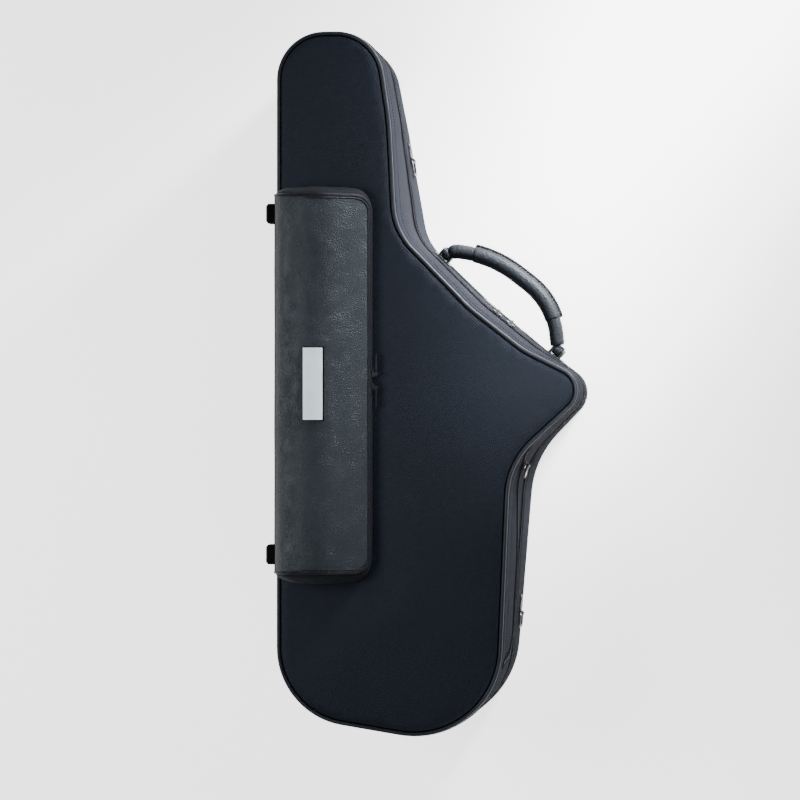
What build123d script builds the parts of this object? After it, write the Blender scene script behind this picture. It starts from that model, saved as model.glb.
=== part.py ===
from build123d import *
from math import cos, radians, tan
import os

os.makedirs("parts", exist_ok=True)

# A shaped soft case for a tenor saxophone, lying on its back: +Z is towards the front
# face, +Y towards the neck end and +X towards the handle. The origin is on the back's
# resting face, in the middle of the case's length and width. Lengths are millimetres.

# Overall sizes
case_length = 840.0
case_width = 362.0
case_depth = 205.0
seam_height = 80.0

# Corners of the outline before rounding, clockwise from the top left, as shares of the
# case's width and length. The neck is at the top, the bell tip is the seventh corner.
front_corner_shares = (
    (0.0, 1.0), (0.336, 1.0), (0.381, 0.872), (0.399, 0.718), (0.648, 0.608),
    (0.824, 0.549), (1.058, 0.499), (0.776, 0.387), (0.736, -0.019), (0.0, 0.031),
)
back_corner_shares = (
    (0.0, 1.0), (0.297, 1.0), (0.356, 0.872), (0.424, 0.709), (0.642, 0.619),
    (0.823, 0.554), (1.013, 0.493), (0.790, 0.392), (0.711, -0.017), (0.0, 0.031),
)
front_corner_radii = (57.0, 59.0, 400.0, 79.0, 105.0, 120.0, 28.8, 89.0, 107.0, 93.0)
back_corner_radii = (57.0, 60.0, 400.0, 66.0, 150.0, 120.0, 30.5, 118.0, 110.0, 93.0)
neck_corner, slope_corner, tip_slope_corner = 3, 4, 5
waist_corner = 7
neck_side_corner = 2
fillet_run_share = 0.49
smallest_radius = 3.0

# Skins, shell and lining
skin_thickness = 1.2
glue_gap = 0.2
shell_wall = 8.6
shell_floor = 8.0
piping_radius = 2.4
piping_sides = 8
binding_width = 34.0
tape_width = 11.0
tape_thickness = 0.8
teeth_width = 2.9
teeth_proud = 1.0
seam_gap = 0.15
lining_gap = 0.3
cradle_wall = 16.0
cradle_floor = 12.0
cradle_below_seam = 3.0
liner_wall = 9.0
liner_top = 9.0
cut_overrun = 20.0
box_reach = 600.0

# Saddles that hold the instrument's tube and bell
saddle_thickness = 46.0
tube_radius = 36.0
bell_tube_radius = 50.0
bell_rim_radius = 78.0
tube_axis_height = 88.0
saddle_drop = 6.0
tube_line_share = 0.2
neck_saddle_share = 0.80
body_saddle_share = 0.36
bell_line_share = 0.56
bell_saddle_share = 0.555
bell_mouth_share = 0.70

# Fabric hinge along the left spine
hinge_length = 470.0
hinge_leaf_width = 26.0
hinge_leaf_thickness = 1.5

# Rubber feet on the spine
foot_length = 24.0
foot_width = 26.0
foot_height = 15.0
foot_rounding = 4.0
foot_bevel = 2.5
foot_spacing = 408.0
foot_edge_distance = 23.0

# Handle
handle_height = 40.0
upper_anchor_share = 0.13
lower_anchor_share = 0.306
pin_standoff = 9.5
pin_radius = 2.2
pin_bore_gap = 0.05
eye_bore_gap = 0.3
eye_radius = 4.8
eye_length = 10.0
eye_gap = 0.4
ear_thickness = 3.0
anchor_length = 26.0
anchor_width = 22.0
anchor_thickness = 1.8
anchor_corner = 3.0
rivet_radius = 2.2
rivet_sides = 12
rivet_height = 1.0
rivet_spacing = 15.0
handle_tube_radius = 8.0
handle_sides = 12
handle_cut_height = 5.9
handle_rise = 36.0
# The handle's run before rounding, as shares of its span and rise, and its roundings as
# shares of the span: a quick rise at the first pin, then one long bow to the second
handle_run_shares = ((0.0, 0.0), (0.028, 0.264), (0.25, 0.958), (0.762, 1.1), (1.0, 0.0))
handle_radius_shares = (0.11, 0.8, 0.5)
sleeve_start_share = 0.165
sleeve_end_share = 0.815
sleeve_thickness = 1.7
sleeve_gap = 0.1
sleeve_flap_height = 3.4
sleeve_flap_thickness = 2.4

# Strap fittings on the right wall of the back half
strap_height = 38.0
neck_strap_share = 0.295
lower_strap_share = 0.80
strap_tab_length = 22.0
strap_tab_width = 15.0
strap_tab_thickness = 2.0
strap_barrel_gap = 0.6
strap_barrel_wall = 1.4
ring_wire = 2.4
ring_width = 25.0
ring_drop = 17.0
ring_corner = 6.0

# Zipper sliders and pullers
slider_length = 12.0
slider_width = 9.0
slider_thickness = 2.0
slider_gap = 0.4
slider_nose = 2.5
crown_width = 8.4
crown_ear_thickness = 1.3
crown_ear_radius = 2.1
crown_ear_sides = 8
crown_pin_radius = 0.9
crown_pin_height = 2.3
puller_bore_gap = 0.25
puller_eye_radius = 2.0
puller_length = 25.0
puller_width = 5.0
puller_thickness = 1.3
puller_hole_radius = 1.3
puller_end_bevel = 1.4
upper_slider_share = 0.179
lower_slider_share = 0.471

# Document pocket zipper on the lid's right wall: its run as shares of length and depth
document_run_shares = (
    (0.406, 0.927), (0.381, 0.732), (0.355, 0.675), (0.237, 0.495),
    (0.139, 0.488), (0.111, 0.634), (0.104, 0.895),
)
document_bend_radius = 14.0
document_tape_width = 13.0
document_tape_thickness = 0.8
document_teeth_width = 4.4
document_teeth_thickness = 1.0
document_slider_share = 0.756
document_slider_gap = 0.9
document_slider_turn = 60.0

# Accessory pocket on the front face
pocket_length = 447.0
pocket_width = 113.0
pocket_height = 50.0
pocket_edge_inset = 3.0
pocket_wall = 2.2
pocket_sheet = 1.0
pocket_profile_shares = ((0.0, 0.03), (0.0, 0.91), (0.49, 1.03), (1.0, 0.19))
pocket_left_radius = 26.0
pocket_top_radius = 58.0
pocket_seat_gap = 0.4
gusset_bulge = 11.0
gusset_bevel = 6.0
gusset_wall = 3.5
pocket_tape_thickness = 1.4
pocket_tape_height = 4.0
pocket_teeth_thickness = 2.6
pocket_teeth_height = 1.5
plate_length = 85.0
plate_width = 22.5
plate_thickness = 1.2
plate_centre_share = 0.44
plate_corner = 2.0
upper_pocket_slider_share = 0.526
lower_pocket_slider_share = 0.490


def corner_place(index, height):
    """One corner of the outline before rounding, at a height above the back."""
    front_share = height / case_depth
    back_x, back_y = back_corner_shares[index]
    front_x, front_y = front_corner_shares[index]
    x_share = back_x + (front_x - back_x) * front_share
    y_share = back_y + (front_y - back_y) * front_share
    return Vector(x_share * case_width - case_width / 2, y_share * case_length - case_length / 2)


def rounded_corner(index, at_front):
    """A corner of the back or front outline: place, run-in, run-out, turn and rounding."""
    height = case_depth if at_front else 0
    wanted = front_corner_radii if at_front else back_corner_radii
    corner = corner_place(index, height)
    run_in = corner - corner_place(index - 1, height)
    run_out = corner_place((index + 1) % len(wanted), height) - corner
    turn = run_in.get_angle(run_out)
    room = fillet_run_share * min(run_in.length, run_out.length) / tan(radians(turn / 2))
    rounding = min(wanted[index], room)
    return corner, run_in.normalized(), run_out.normalized(), turn, rounding


def straight_run(index, at_front):
    """The ends of the straight run that follows a corner, between its two roundings."""
    level = Vector(0, 0, case_depth if at_front else 0)
    start, _, along, start_turn, start_rounding = rounded_corner(index, at_front)
    end, _, _, end_turn, end_rounding = rounded_corner(index + 1, at_front)
    start_trim = start_rounding * tan(radians(start_turn / 2))
    end_trim = end_rounding * tan(radians(end_turn / 2))
    return start + along * start_trim + level, end - along * end_trim + level


def outline_face(inset, at_front):
    """The case's outline as a face on the back or the front plane, a distance inside it."""
    height = case_depth if at_front else 0
    points, radii = [], []
    for index in range(len(front_corner_shares)):
        corner, along_in, along_out, turn, rounding = rounded_corner(index, at_front)
        inward_in = Vector(along_in.Y, -along_in.X)
        inward_out = Vector(along_out.Y, -along_out.X)
        mitre = (inward_in + inward_out) * (1 / (1 + inward_in.dot(inward_out)))
        points.append(corner + mitre * inset)
        turns_right = along_in.cross(along_out).Z < 0
        rounding = rounding - inset if turns_right else rounding + inset
        radii.append(max(rounding, smallest_radius))
    with BuildSketch(Plane.XY.offset(height)) as section:
        with BuildLine():
            FilletPolyline(*points, radius=radii, close=True)
        make_face()
    return section.sketch


def case_body(inset, low, high):
    """The case's whole form a distance inside its outer face, between two heights."""
    with BuildPart() as body:
        loft(sections=[outline_face(inset, False), outline_face(inset, True)], ruled=True)
        if low > 0:
            split(bisect_by=Plane.XY.offset(low), keep=Keep.TOP)
        if high < case_depth:
            split(bisect_by=Plane.XY.offset(high), keep=Keep.BOTTOM)
    return body.part


def wall_plane(index, share, height):
    """A plane on the wall's straight run after a corner: x back along it, z outwards."""
    height_share = height / case_depth
    back_start, back_end = straight_run(index, False)
    front_start, front_end = straight_run(index, True)
    start = back_start + (front_start - back_start) * height_share
    end = back_end + (front_end - back_end) * height_share
    rise = (front_start - back_start) * (1 - share) + (front_end - back_end) * share
    along = (start - end).normalized()
    return Plane(
        origin=start + (end - start) * share, x_dir=along, z_dir=along.cross(rise).normalized()
    )


def hollow_corner_plane(index, height):
    """A plane on the middle of a hollow corner's rounding, with the wall planes' axes."""
    middles = []
    for at_front in (False, True):
        corner, along_in, along_out, turn, rounding = rounded_corner(index, at_front)
        run = along_in + along_out
        outward = Vector(-run.Y, run.X).normalized()
        reach = rounding * (1 / cos(radians(turn / 2)) - 1)
        level = case_depth if at_front else 0
        middles.append(corner + outward * reach + Vector(0, 0, level))
        along = -run.normalized()
    rise = middles[1] - middles[0]
    place = middles[0] + rise * (height / case_depth)
    return Plane(origin=place, x_dir=along, z_dir=along.cross(rise).normalized())


def finish(piece, name):
    piece.label = name
    export_step(piece, f"parts/{name}.step")


half_length = case_length / 2
half_width = case_width / 2
spine_x = -half_width
band_inner = skin_thickness
shell_outer = skin_thickness + glue_gap
shell_inner = shell_outer + shell_wall
piping_notch = 2 * piping_radius + glue_gap
panel_inset = 2 * piping_radius + glue_gap
step_inset = panel_inset + glue_gap
floor_bottom = skin_thickness + glue_gap
floor_top = floor_bottom + shell_floor
base_top = seam_height - seam_gap
lid_bottom = seam_height + seam_gap
ceiling_top = case_depth - floor_bottom
ceiling_bottom = ceiling_top - shell_floor
binding_low = case_depth - binding_width

# Back half: woven skin, shell, leather band, piping
with BuildPart() as back_panel:
    extrude(outline_face(panel_inset, False), amount=skin_thickness)
finish(back_panel.part, "back_panel")

shell_upper = case_body(shell_outer, piping_notch, base_top)
shell_step = case_body(step_inset, floor_bottom, piping_notch)
shell_hollow = case_body(shell_inner, floor_top, seam_height)
with BuildPart() as back_shell:
    add(shell_upper)
    add(shell_step)
    add(shell_hollow, mode=Mode.SUBTRACT)
finish(back_shell.part, "back_shell")

tape_low = base_top - teeth_width - tape_width
tape_top = base_top - teeth_width
band_outer_form = case_body(0, piping_notch, tape_low)
band_inner_form = case_body(band_inner, piping_notch, tape_low)
with BuildPart() as back_band:
    add(band_outer_form)
    add(band_inner_form, mode=Mode.SUBTRACT)
finish(back_band.part, "back_band")


def piping_path(at_front):
    height = case_depth - piping_radius if at_front else piping_radius
    edge = outline_face(piping_radius, at_front).face().outer_wire()
    shift = height - case_depth if at_front else height
    return edge.moved(Location((0, 0, shift)))


def piping_cord(path):
    """A cord of many flat sides along an outline, one side flat on the resting face."""
    with BuildPart() as cord:
        with BuildSketch(Plane(origin=path @ 0, x_dir=(0, 0, 1), z_dir=path % 0)):
            RegularPolygon(
                piping_radius, piping_sides, major_radius=False, rotation=180 / piping_sides
            )
        sweep(path=path)
    return cord.part


with BuildPart() as back_piping:
    add(piping_cord(piping_path(False)))
finish(back_piping.part, "back_piping")
with BuildPart() as front_piping:
    add(piping_cord(piping_path(True)))
finish(front_piping.part, "front_piping")

# Lid: woven front, shell, leather band and the darker binding beside the piping
with BuildPart() as lid_panel:
    extrude(outline_face(panel_inset, True), amount=-skin_thickness)
finish(lid_panel.part, "lid_panel")

lid_notch = case_depth - piping_notch
lid_lower = case_body(shell_outer, lid_bottom, lid_notch)
lid_step = case_body(step_inset, lid_notch, ceiling_top)
lid_hollow = case_body(shell_inner, seam_height, ceiling_bottom)
with BuildPart() as lid_shell:
    add(lid_lower)
    add(lid_step)
    add(lid_hollow, mode=Mode.SUBTRACT)
finish(lid_shell.part, "lid_shell")

lid_tape_low = lid_bottom + teeth_width
lid_tape_top = lid_tape_low + tape_width
lid_band_outer = case_body(0, lid_tape_top, binding_low)
lid_band_inner = case_body(band_inner, lid_tape_top, binding_low)
with BuildPart() as lid_band:
    add(lid_band_outer)
    add(lid_band_inner, mode=Mode.SUBTRACT)
finish(lid_band.part, "lid_band")

binding_outer = case_body(0, binding_low, lid_notch)
binding_inner = case_body(band_inner, binding_low, lid_notch)
with BuildPart() as lid_binding:
    add(binding_outer)
    add(binding_inner, mode=Mode.SUBTRACT)
finish(lid_binding.part, "lid_binding")

# Main zipper: a tape and a row of teeth on each half, stopped at the spine's hinge
tape_outer = band_inner - tape_thickness
hinge_clear = Plane(origin=(spine_x, 0, seam_height))


def zipper_half(low, high, outer_inset):
    outer_form = case_body(outer_inset, low, high)
    inner_form = case_body(band_inner, low, high)
    with BuildPart() as ring:
        add(outer_form)
        add(inner_form, mode=Mode.SUBTRACT)
    return ring.part


base_tape_ring = zipper_half(tape_low, tape_top, tape_outer)
with BuildPart() as base_zipper_tape:
    add(base_tape_ring)
finish(base_zipper_tape.part, "base_zipper_tape")

lid_tape_ring = zipper_half(lid_tape_low, lid_tape_top, tape_outer)
with BuildPart() as lid_zipper_tape:
    add(lid_tape_ring)
finish(lid_zipper_tape.part, "lid_zipper_tape")

base_teeth_ring = zipper_half(tape_top, base_top, -teeth_proud)
with BuildPart() as base_zipper_teeth:
    add(base_teeth_ring)
    with Locations(hinge_clear):
        Box(cut_overrun, hinge_length, cut_overrun, mode=Mode.SUBTRACT)
finish(base_zipper_teeth.part, "base_zipper_teeth")

lid_teeth_ring = zipper_half(lid_bottom, lid_tape_low, -teeth_proud)
with BuildPart() as lid_zipper_teeth:
    add(lid_teeth_ring)
    with Locations(hinge_clear):
        Box(cut_overrun, hinge_length, cut_overrun, mode=Mode.SUBTRACT)
finish(lid_zipper_teeth.part, "lid_zipper_teeth")

# Fabric hinge: one leaf sewn to each half, meeting at the axis on their outer face
leaf_length = hinge_length - 2 * seam_gap
leaf_corner = hinge_leaf_width / 3
leaf_back = Plane(origin=(spine_x - hinge_leaf_thickness, 0, 0), x_dir=(0, 1, 0), z_dir=(1, 0, 0))

with BuildPart() as hinge_leaf_base:
    with BuildSketch(leaf_back):
        with Locations((0, base_top)):
            Rectangle(leaf_length, hinge_leaf_width, align=(Align.CENTER, Align.MAX))
    extrude(amount=hinge_leaf_thickness)
    low_edges = hinge_leaf_base.edges().filter_by(Axis.X).group_by(Axis.Z)[0]
    fillet(low_edges, radius=leaf_corner)
finish(hinge_leaf_base.part, "hinge_leaf_base")

with BuildPart() as hinge_leaf_lid:
    with BuildSketch(leaf_back):
        with Locations((0, lid_bottom)):
            Rectangle(leaf_length, hinge_leaf_width, align=(Align.CENTER, Align.MIN))
    extrude(amount=hinge_leaf_thickness)
    high_edges = hinge_leaf_lid.edges().filter_by(Axis.X).group_by(Axis.Z)[-1]
    fillet(high_edges, radius=leaf_corner)
finish(hinge_leaf_lid.part, "hinge_leaf_lid")

# Foam cradle with the instrument's cavity, and three saddles that stand in it
lining_inset = shell_inner + lining_gap
cavity_inset = lining_inset + cradle_wall
cradle_low = floor_top + glue_gap
cradle_high = base_top - cradle_below_seam
cavity_low = cradle_low + cradle_floor
cradle_form = case_body(lining_inset, cradle_low, cradle_high)
cavity_form = case_body(cavity_inset, cavity_low, seam_height)
with BuildPart() as base_cradle:
    add(cradle_form)
    add(cavity_form, mode=Mode.SUBTRACT)
finish(base_cradle.part, "base_cradle")

saddle_inset = cavity_inset + lining_gap
saddle_low = cavity_low + glue_gap
saddle_high = cradle_high - saddle_drop
saddle_form = case_body(saddle_inset, saddle_low, saddle_high)
tube_x = tube_line_share * case_width - half_width
bell_tube_x = bell_line_share * case_width - half_width
bell_mouth_x = bell_mouth_share * case_width - half_width
neck_saddle_y = neck_saddle_share * case_length - half_length
body_saddle_y = body_saddle_share * case_length - half_length
bell_saddle_y = bell_saddle_share * case_length - half_length


def across_plane(y):
    """A plane square to the case's length: x to the right, y up, z towards the foot."""
    return Plane(origin=(0, y, 0), x_dir=(1, 0, 0), z_dir=(0, -1, 0))


with BuildPart() as neck_saddle:
    add(saddle_form)
    with Locations((0, neck_saddle_y, seam_height)):
        Box(box_reach, saddle_thickness, box_reach, mode=Mode.INTERSECT)
    with BuildSketch(across_plane(neck_saddle_y)):
        with Locations((tube_x, tube_axis_height)):
            Circle(tube_radius)
    extrude(amount=saddle_thickness, both=True, mode=Mode.SUBTRACT)
finish(neck_saddle.part, "neck_saddle")

with BuildPart() as body_saddle:
    add(saddle_form)
    with Locations((0, body_saddle_y, seam_height)):
        Box(box_reach, saddle_thickness, box_reach, mode=Mode.INTERSECT)
    with BuildSketch(across_plane(body_saddle_y)):
        with Locations((tube_x, tube_axis_height)):
            Circle(tube_radius)
        with Locations((bell_tube_x, tube_axis_height)):
            Circle(bell_tube_radius)
    extrude(amount=saddle_thickness, both=True, mode=Mode.SUBTRACT)
finish(body_saddle.part, "body_saddle")

bell_block_x = (tube_x + tube_radius + bell_mouth_x) / 2
bell_rim_height = cavity_low + cradle_floor + bell_rim_radius
with BuildPart() as bell_saddle:
    add(saddle_form)
    with Locations((bell_block_x + half_width, bell_saddle_y, seam_height)):
        Box(case_width, saddle_thickness, box_reach, mode=Mode.INTERSECT)
    with BuildSketch(across_plane(bell_saddle_y)):
        with Locations((bell_mouth_x, bell_rim_height)):
            Circle(bell_rim_radius)
    extrude(amount=saddle_thickness, both=True, mode=Mode.SUBTRACT)
finish(bell_saddle.part, "bell_saddle")

# Plush lining of the lid
liner_low = lid_bottom + cradle_below_seam
liner_high = ceiling_bottom - glue_gap
liner_form = case_body(lining_inset, liner_low, liner_high)
liner_hollow = case_body(lining_inset + liner_wall, seam_height, liner_high - liner_top)
with BuildPart() as lid_liner:
    add(liner_form)
    add(liner_hollow, mode=Mode.SUBTRACT)
finish(lid_liner.part, "lid_liner")

# Rubber feet on the spine, so that the closed case can stand on its narrow side
def foot_plane(height):
    """A plane on the spine's outer face, z pointing away from the case."""
    return Plane(origin=(spine_x, 0, height), x_dir=(0, -1, 0), z_dir=(-1, 0, 0))


def spine_feet(height):
    with BuildPart() as feet:
        with BuildSketch(foot_plane(height)):
            with GridLocations(foot_spacing, 0, 2, 1):
                RectangleRounded(foot_length, foot_width, foot_rounding)
        extrude(amount=foot_height)
        chamfer(feet.faces().sort_by(Axis.X)[:2].edges(), length=foot_bevel)
    return feet.part


base_foot_height = foot_edge_distance
lid_foot_height = case_depth - foot_edge_distance
with BuildPart() as base_spine_feet:
    add(spine_feet(base_foot_height))
finish(base_spine_feet.part, "base_spine_feet")
with BuildPart() as lid_spine_feet:
    add(spine_feet(lid_foot_height))
finish(lid_spine_feet.part, "lid_spine_feet")

# Handle: it swings on two pins whose common line joins the anchors
upper_wall = wall_plane(neck_corner, upper_anchor_share, handle_height)
lower_wall = wall_plane(tip_slope_corner, lower_anchor_share, handle_height)
upper_pin = upper_wall.origin + upper_wall.z_dir * pin_standoff
lower_pin = lower_wall.origin + lower_wall.z_dir * pin_standoff
level_lower_pin = Vector(lower_pin.X, lower_pin.Y, upper_pin.Z)
pin_line = (level_lower_pin - upper_pin).normalized()
pin_span = (level_lower_pin - upper_pin).length
# x along the pins' line towards the bell, y away from the case, z towards the front
handle_plane = Plane(origin=upper_pin, x_dir=pin_line, z_dir=(0, 0, 1))

handle_points = [
    (along_share * pin_span, rise_share * handle_rise)
    for along_share, rise_share in handle_run_shares
]
handle_radii = [radius_share * pin_span for radius_share in handle_radius_shares]
with BuildLine(handle_plane) as handle_run:
    FilletPolyline(*handle_points, radius=handle_radii)
handle_path = handle_run.wires()[0]
cut_plane = Plane(
    origin=handle_plane.from_local_coords((0, handle_cut_height, 0)),
    z_dir=handle_plane.y_dir,
)

with BuildPart() as handle_core:
    with BuildSketch(Plane(origin=handle_path @ 0, x_dir=(0, 0, 1), z_dir=handle_path % 0)):
        RegularPolygon(handle_tube_radius, handle_sides, major_radius=False)
    sweep(path=handle_path)
    split(bisect_by=cut_plane, keep=Keep.TOP)
finish(handle_core.part, "handle_core")

# The wrapped sleeve follows the same run, with its stitched flap on the outer side
sleeve_path = handle_path.trim(sleeve_start_share, sleeve_end_share)
sleeve_inner = handle_tube_radius + sleeve_gap
sleeve_outer = sleeve_inner + sleeve_thickness
with BuildPart() as handle_sleeve:
    with BuildSketch(Plane(origin=sleeve_path @ 0, x_dir=(0, 0, 1), z_dir=sleeve_path % 0)):
        RegularPolygon(sleeve_outer, handle_sides, major_radius=False)
        with Locations((0, -sleeve_inner)):
            Rectangle(
                sleeve_flap_thickness,
                sleeve_thickness + sleeve_flap_height,
                align=(Align.CENTER, Align.MAX),
            )
        RegularPolygon(sleeve_inner, handle_sides, major_radius=False, mode=Mode.SUBTRACT)
    sweep(path=sleeve_path)
finish(handle_sleeve.part, "handle_sleeve")

# Eyes at both ends of the handle, turning on the pins
eye_bore = pin_radius + eye_bore_gap
eye_top = handle_cut_height - glue_gap


def eye_plane(offset):
    """A plane square to the pins' line, x away from the case and y towards the front."""
    return Plane(
        origin=handle_plane.from_local_coords((offset, 0, 0)),
        x_dir=handle_plane.y_dir,
        z_dir=handle_plane.x_dir,
    )


with BuildPart() as handle_eyes:
    for eye_offset in (0, pin_span):
        with BuildSketch(eye_plane(eye_offset - eye_length / 2)):
            Circle(eye_radius)
            Rectangle(eye_top, 2 * eye_radius, align=(Align.MIN, Align.CENTER))
            Circle(eye_bore, mode=Mode.SUBTRACT)
        extrude(amount=eye_length)
finish(handle_eyes.part, "handle_eyes")

with BuildPart() as handle_pins:
    pin_length = eye_length + 2 * (eye_gap + ear_thickness)
    for eye_offset in (0, pin_span):
        with BuildSketch(eye_plane(eye_offset - pin_length / 2)):
            Circle(pin_radius)
        extrude(amount=pin_length)
finish(handle_pins.part, "handle_pins")

ear_bore = pin_radius + pin_bore_gap
ear_start = eye_length / 2 + eye_gap


def handle_anchor(wall, offset):
    """A plate riveted to the wall, with two ears that hold the handle's pin."""
    with BuildPart() as anchor:
        with BuildSketch(wall.offset(glue_gap)) as anchor_sketch:
            Rectangle(anchor_length, anchor_width)
            chamfer(anchor_sketch.vertices(), length=anchor_corner)
        extrude(amount=anchor_thickness)
        for side in (-ear_start - ear_thickness, ear_start):
            with BuildSketch(eye_plane(offset + side)):
                Circle(eye_radius)
                Rectangle(2 * pin_standoff, 2 * eye_radius, align=(Align.MAX, Align.CENTER))
                Circle(ear_bore, mode=Mode.SUBTRACT)
            extrude(amount=ear_thickness)
        split(bisect_by=wall.offset(glue_gap), keep=Keep.TOP)
    return anchor.part


with BuildPart() as handle_anchor_upper:
    add(handle_anchor(upper_wall, 0))
finish(handle_anchor_upper.part, "handle_anchor_upper")
with BuildPart() as handle_anchor_lower:
    add(handle_anchor(lower_wall, pin_span))
finish(handle_anchor_lower.part, "handle_anchor_lower")

rivet_seat = glue_gap + anchor_thickness
with BuildPart() as handle_anchor_rivets:
    for wall in (upper_wall, lower_wall):
        with BuildSketch(wall.offset(rivet_seat)):
            with GridLocations(0, rivet_spacing, 1, 2):
                RegularPolygon(rivet_radius, rivet_sides)
        extrude(amount=rivet_height)
finish(handle_anchor_rivets.part, "handle_anchor_rivets")

# Strap fittings: a folded tab riveted to the wall, and a ring that hangs in its barrel
barrel_bore = ring_wire / 2 + strap_barrel_gap
barrel_radius = barrel_bore + strap_barrel_wall
barrel_lift = barrel_radius + glue_gap
barrel_length = ring_width - 2 * ring_corner - strap_barrel_gap
neck_strap_wall = wall_plane(neck_side_corner, neck_strap_share, strap_height)
lower_strap_wall = wall_plane(waist_corner, lower_strap_share, strap_height)


def ring_plane(wall):
    """The ring's own plane: origin on its bar, x along the wall's x, y up the wall."""
    return Plane(
        origin=wall.from_local_coords((0, 0, barrel_lift)), x_dir=wall.x_dir, z_dir=wall.z_dir
    )


def barrel_plane(wall):
    """A plane square to the ring's bar, x up the case and y away from the wall."""
    return Plane(
        origin=wall.from_local_coords((0, -barrel_length / 2, barrel_lift)),
        x_dir=wall.x_dir,
        z_dir=wall.y_dir,
    )


def strap_tab(wall):
    with BuildPart() as tab:
        with BuildSketch(wall.offset(glue_gap)):
            with Locations((strap_tab_length / 2, 0)):
                Rectangle(strap_tab_length, barrel_length)
        extrude(amount=strap_tab_thickness)
        with BuildSketch(barrel_plane(wall)):
            Circle(barrel_radius)
        extrude(amount=barrel_length)
        with BuildSketch(barrel_plane(wall)):
            Circle(barrel_bore)
        extrude(amount=barrel_length, mode=Mode.SUBTRACT)
    return tab.part


def strap_ring(wall):
    """A rounded frame of square wire whose inner bar lies in the tab's barrel."""
    outer_drop = ring_drop + ring_wire
    inner_drop = ring_drop - ring_wire
    inner_width = ring_width - 2 * ring_wire
    with BuildPart() as ring:
        with BuildSketch(ring_plane(wall).offset(-ring_wire / 2)):
            with Locations((ring_wire / 2 - outer_drop / 2, 0)):
                RectangleRounded(outer_drop, ring_width, ring_corner)
            with Locations((-ring_wire / 2 - inner_drop / 2, 0)):
                RectangleRounded(
                    inner_drop, inner_width, ring_corner - ring_wire, mode=Mode.SUBTRACT
                )
        extrude(amount=ring_wire)
    return ring.part


with BuildPart() as strap_tab_neck:
    add(strap_tab(neck_strap_wall))
finish(strap_tab_neck.part, "strap_tab_neck")
with BuildPart() as strap_tab_lower:
    add(strap_tab(lower_strap_wall))
finish(strap_tab_lower.part, "strap_tab_lower")
with BuildPart() as strap_ring_neck:
    add(strap_ring(neck_strap_wall))
finish(strap_ring_neck.part, "strap_ring_neck")
with BuildPart() as strap_ring_lower:
    add(strap_ring(lower_strap_wall))
finish(strap_ring_lower.part, "strap_ring_lower")

strap_rivet_seat = glue_gap + strap_tab_thickness
with BuildPart() as strap_tab_rivets:
    for wall in (neck_strap_wall, lower_strap_wall):
        with BuildSketch(wall.offset(strap_rivet_seat)):
            with Locations((strap_tab_length - 2 * rivet_radius, 0)):
                RegularPolygon(rivet_radius, rivet_sides)
        extrude(amount=rivet_height)
finish(strap_tab_rivets.part, "strap_tab_rivets")


# Zipper hardware
def crown_plane(seat, offset):
    """A plane square to a crown's pin: x along the zipper and y away from it."""
    pin_place = seat.from_local_coords((0, offset, slider_thickness + crown_pin_height))
    return Plane(origin=pin_place, x_dir=seat.x_dir, z_dir=-seat.y_dir)


def zipper_slider(seat):
    """A slider's body with a crown whose cross pin holds the puller."""
    ear_depth = crown_ear_radius + crown_pin_height
    with BuildPart() as slider:
        with BuildSketch(seat) as base_sketch:
            Rectangle(slider_length, slider_width)
            chamfer(base_sketch.vertices(), length=slider_nose)
        extrude(amount=slider_thickness)
        for side in (crown_width / 2, crown_ear_thickness - crown_width / 2):
            with BuildSketch(crown_plane(seat, side)):
                RegularPolygon(
                    crown_ear_radius, crown_ear_sides, major_radius=False, rotation=180 / crown_ear_sides
                )
                Rectangle(2 * crown_ear_radius, ear_depth, align=(Align.CENTER, Align.MAX))
            extrude(amount=crown_ear_thickness)
        with BuildSketch(crown_plane(seat, crown_width / 2)):
            Circle(crown_pin_radius)
        extrude(amount=crown_width)
        split(bisect_by=seat, keep=Keep.TOP)
    return slider.part


def zipper_puller(seat, forward):
    """A puller lying along the zipper from the crown's pin, with a hole near its end."""
    puller_bore = crown_pin_radius + puller_bore_gap
    side = 1 if forward else -1
    align = Align.MIN if forward else Align.MAX
    hole_x = side * (puller_length - puller_width / 2)
    level = seat.offset(slider_thickness + crown_pin_height - puller_thickness / 2)
    with BuildPart() as puller:
        with BuildSketch(crown_plane(seat, puller_width / 2)):
            Circle(puller_eye_radius)
            Rectangle(puller_width, puller_thickness, align=(align, Align.CENTER))
            Circle(puller_bore, mode=Mode.SUBTRACT)
        extrude(amount=puller_width)
        with BuildSketch(level) as tab_sketch:
            with Locations((side * puller_length / 2, 0)):
                Rectangle(puller_length, puller_width)
            chamfer(tab_sketch.vertices(), length=puller_end_bevel)
            Rectangle(puller_width, puller_width, mode=Mode.SUBTRACT)
            with Locations((hole_x, 0)):
                Circle(puller_hole_radius, mode=Mode.SUBTRACT)
        extrude(amount=puller_thickness)
    return puller.part


slider_lift = teeth_proud + slider_gap
upper_seat = wall_plane(slope_corner, upper_slider_share, seam_height).offset(slider_lift)
lower_seat = wall_plane(slope_corner, lower_slider_share, seam_height).offset(slider_lift)
with BuildPart() as main_slider_upper:
    add(zipper_slider(upper_seat))
finish(main_slider_upper.part, "main_slider_upper")
with BuildPart() as main_slider_lower:
    add(zipper_slider(lower_seat))
finish(main_slider_lower.part, "main_slider_lower")
with BuildPart() as main_puller_upper:
    add(zipper_puller(upper_seat, True))
finish(main_puller_upper.part, "main_puller_upper")
with BuildPart() as main_puller_lower:
    add(zipper_puller(lower_seat, False))
finish(main_puller_lower.part, "main_puller_lower")

# Document pocket zipper: a strip cut from a thin skin outside the lid's leather band
document_run = [
    (length_share * case_length - half_length, depth_share * case_depth)
    for length_share, depth_share in document_run_shares
]
document_skin_low = lid_tape_low
document_skin_high = lid_notch


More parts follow.
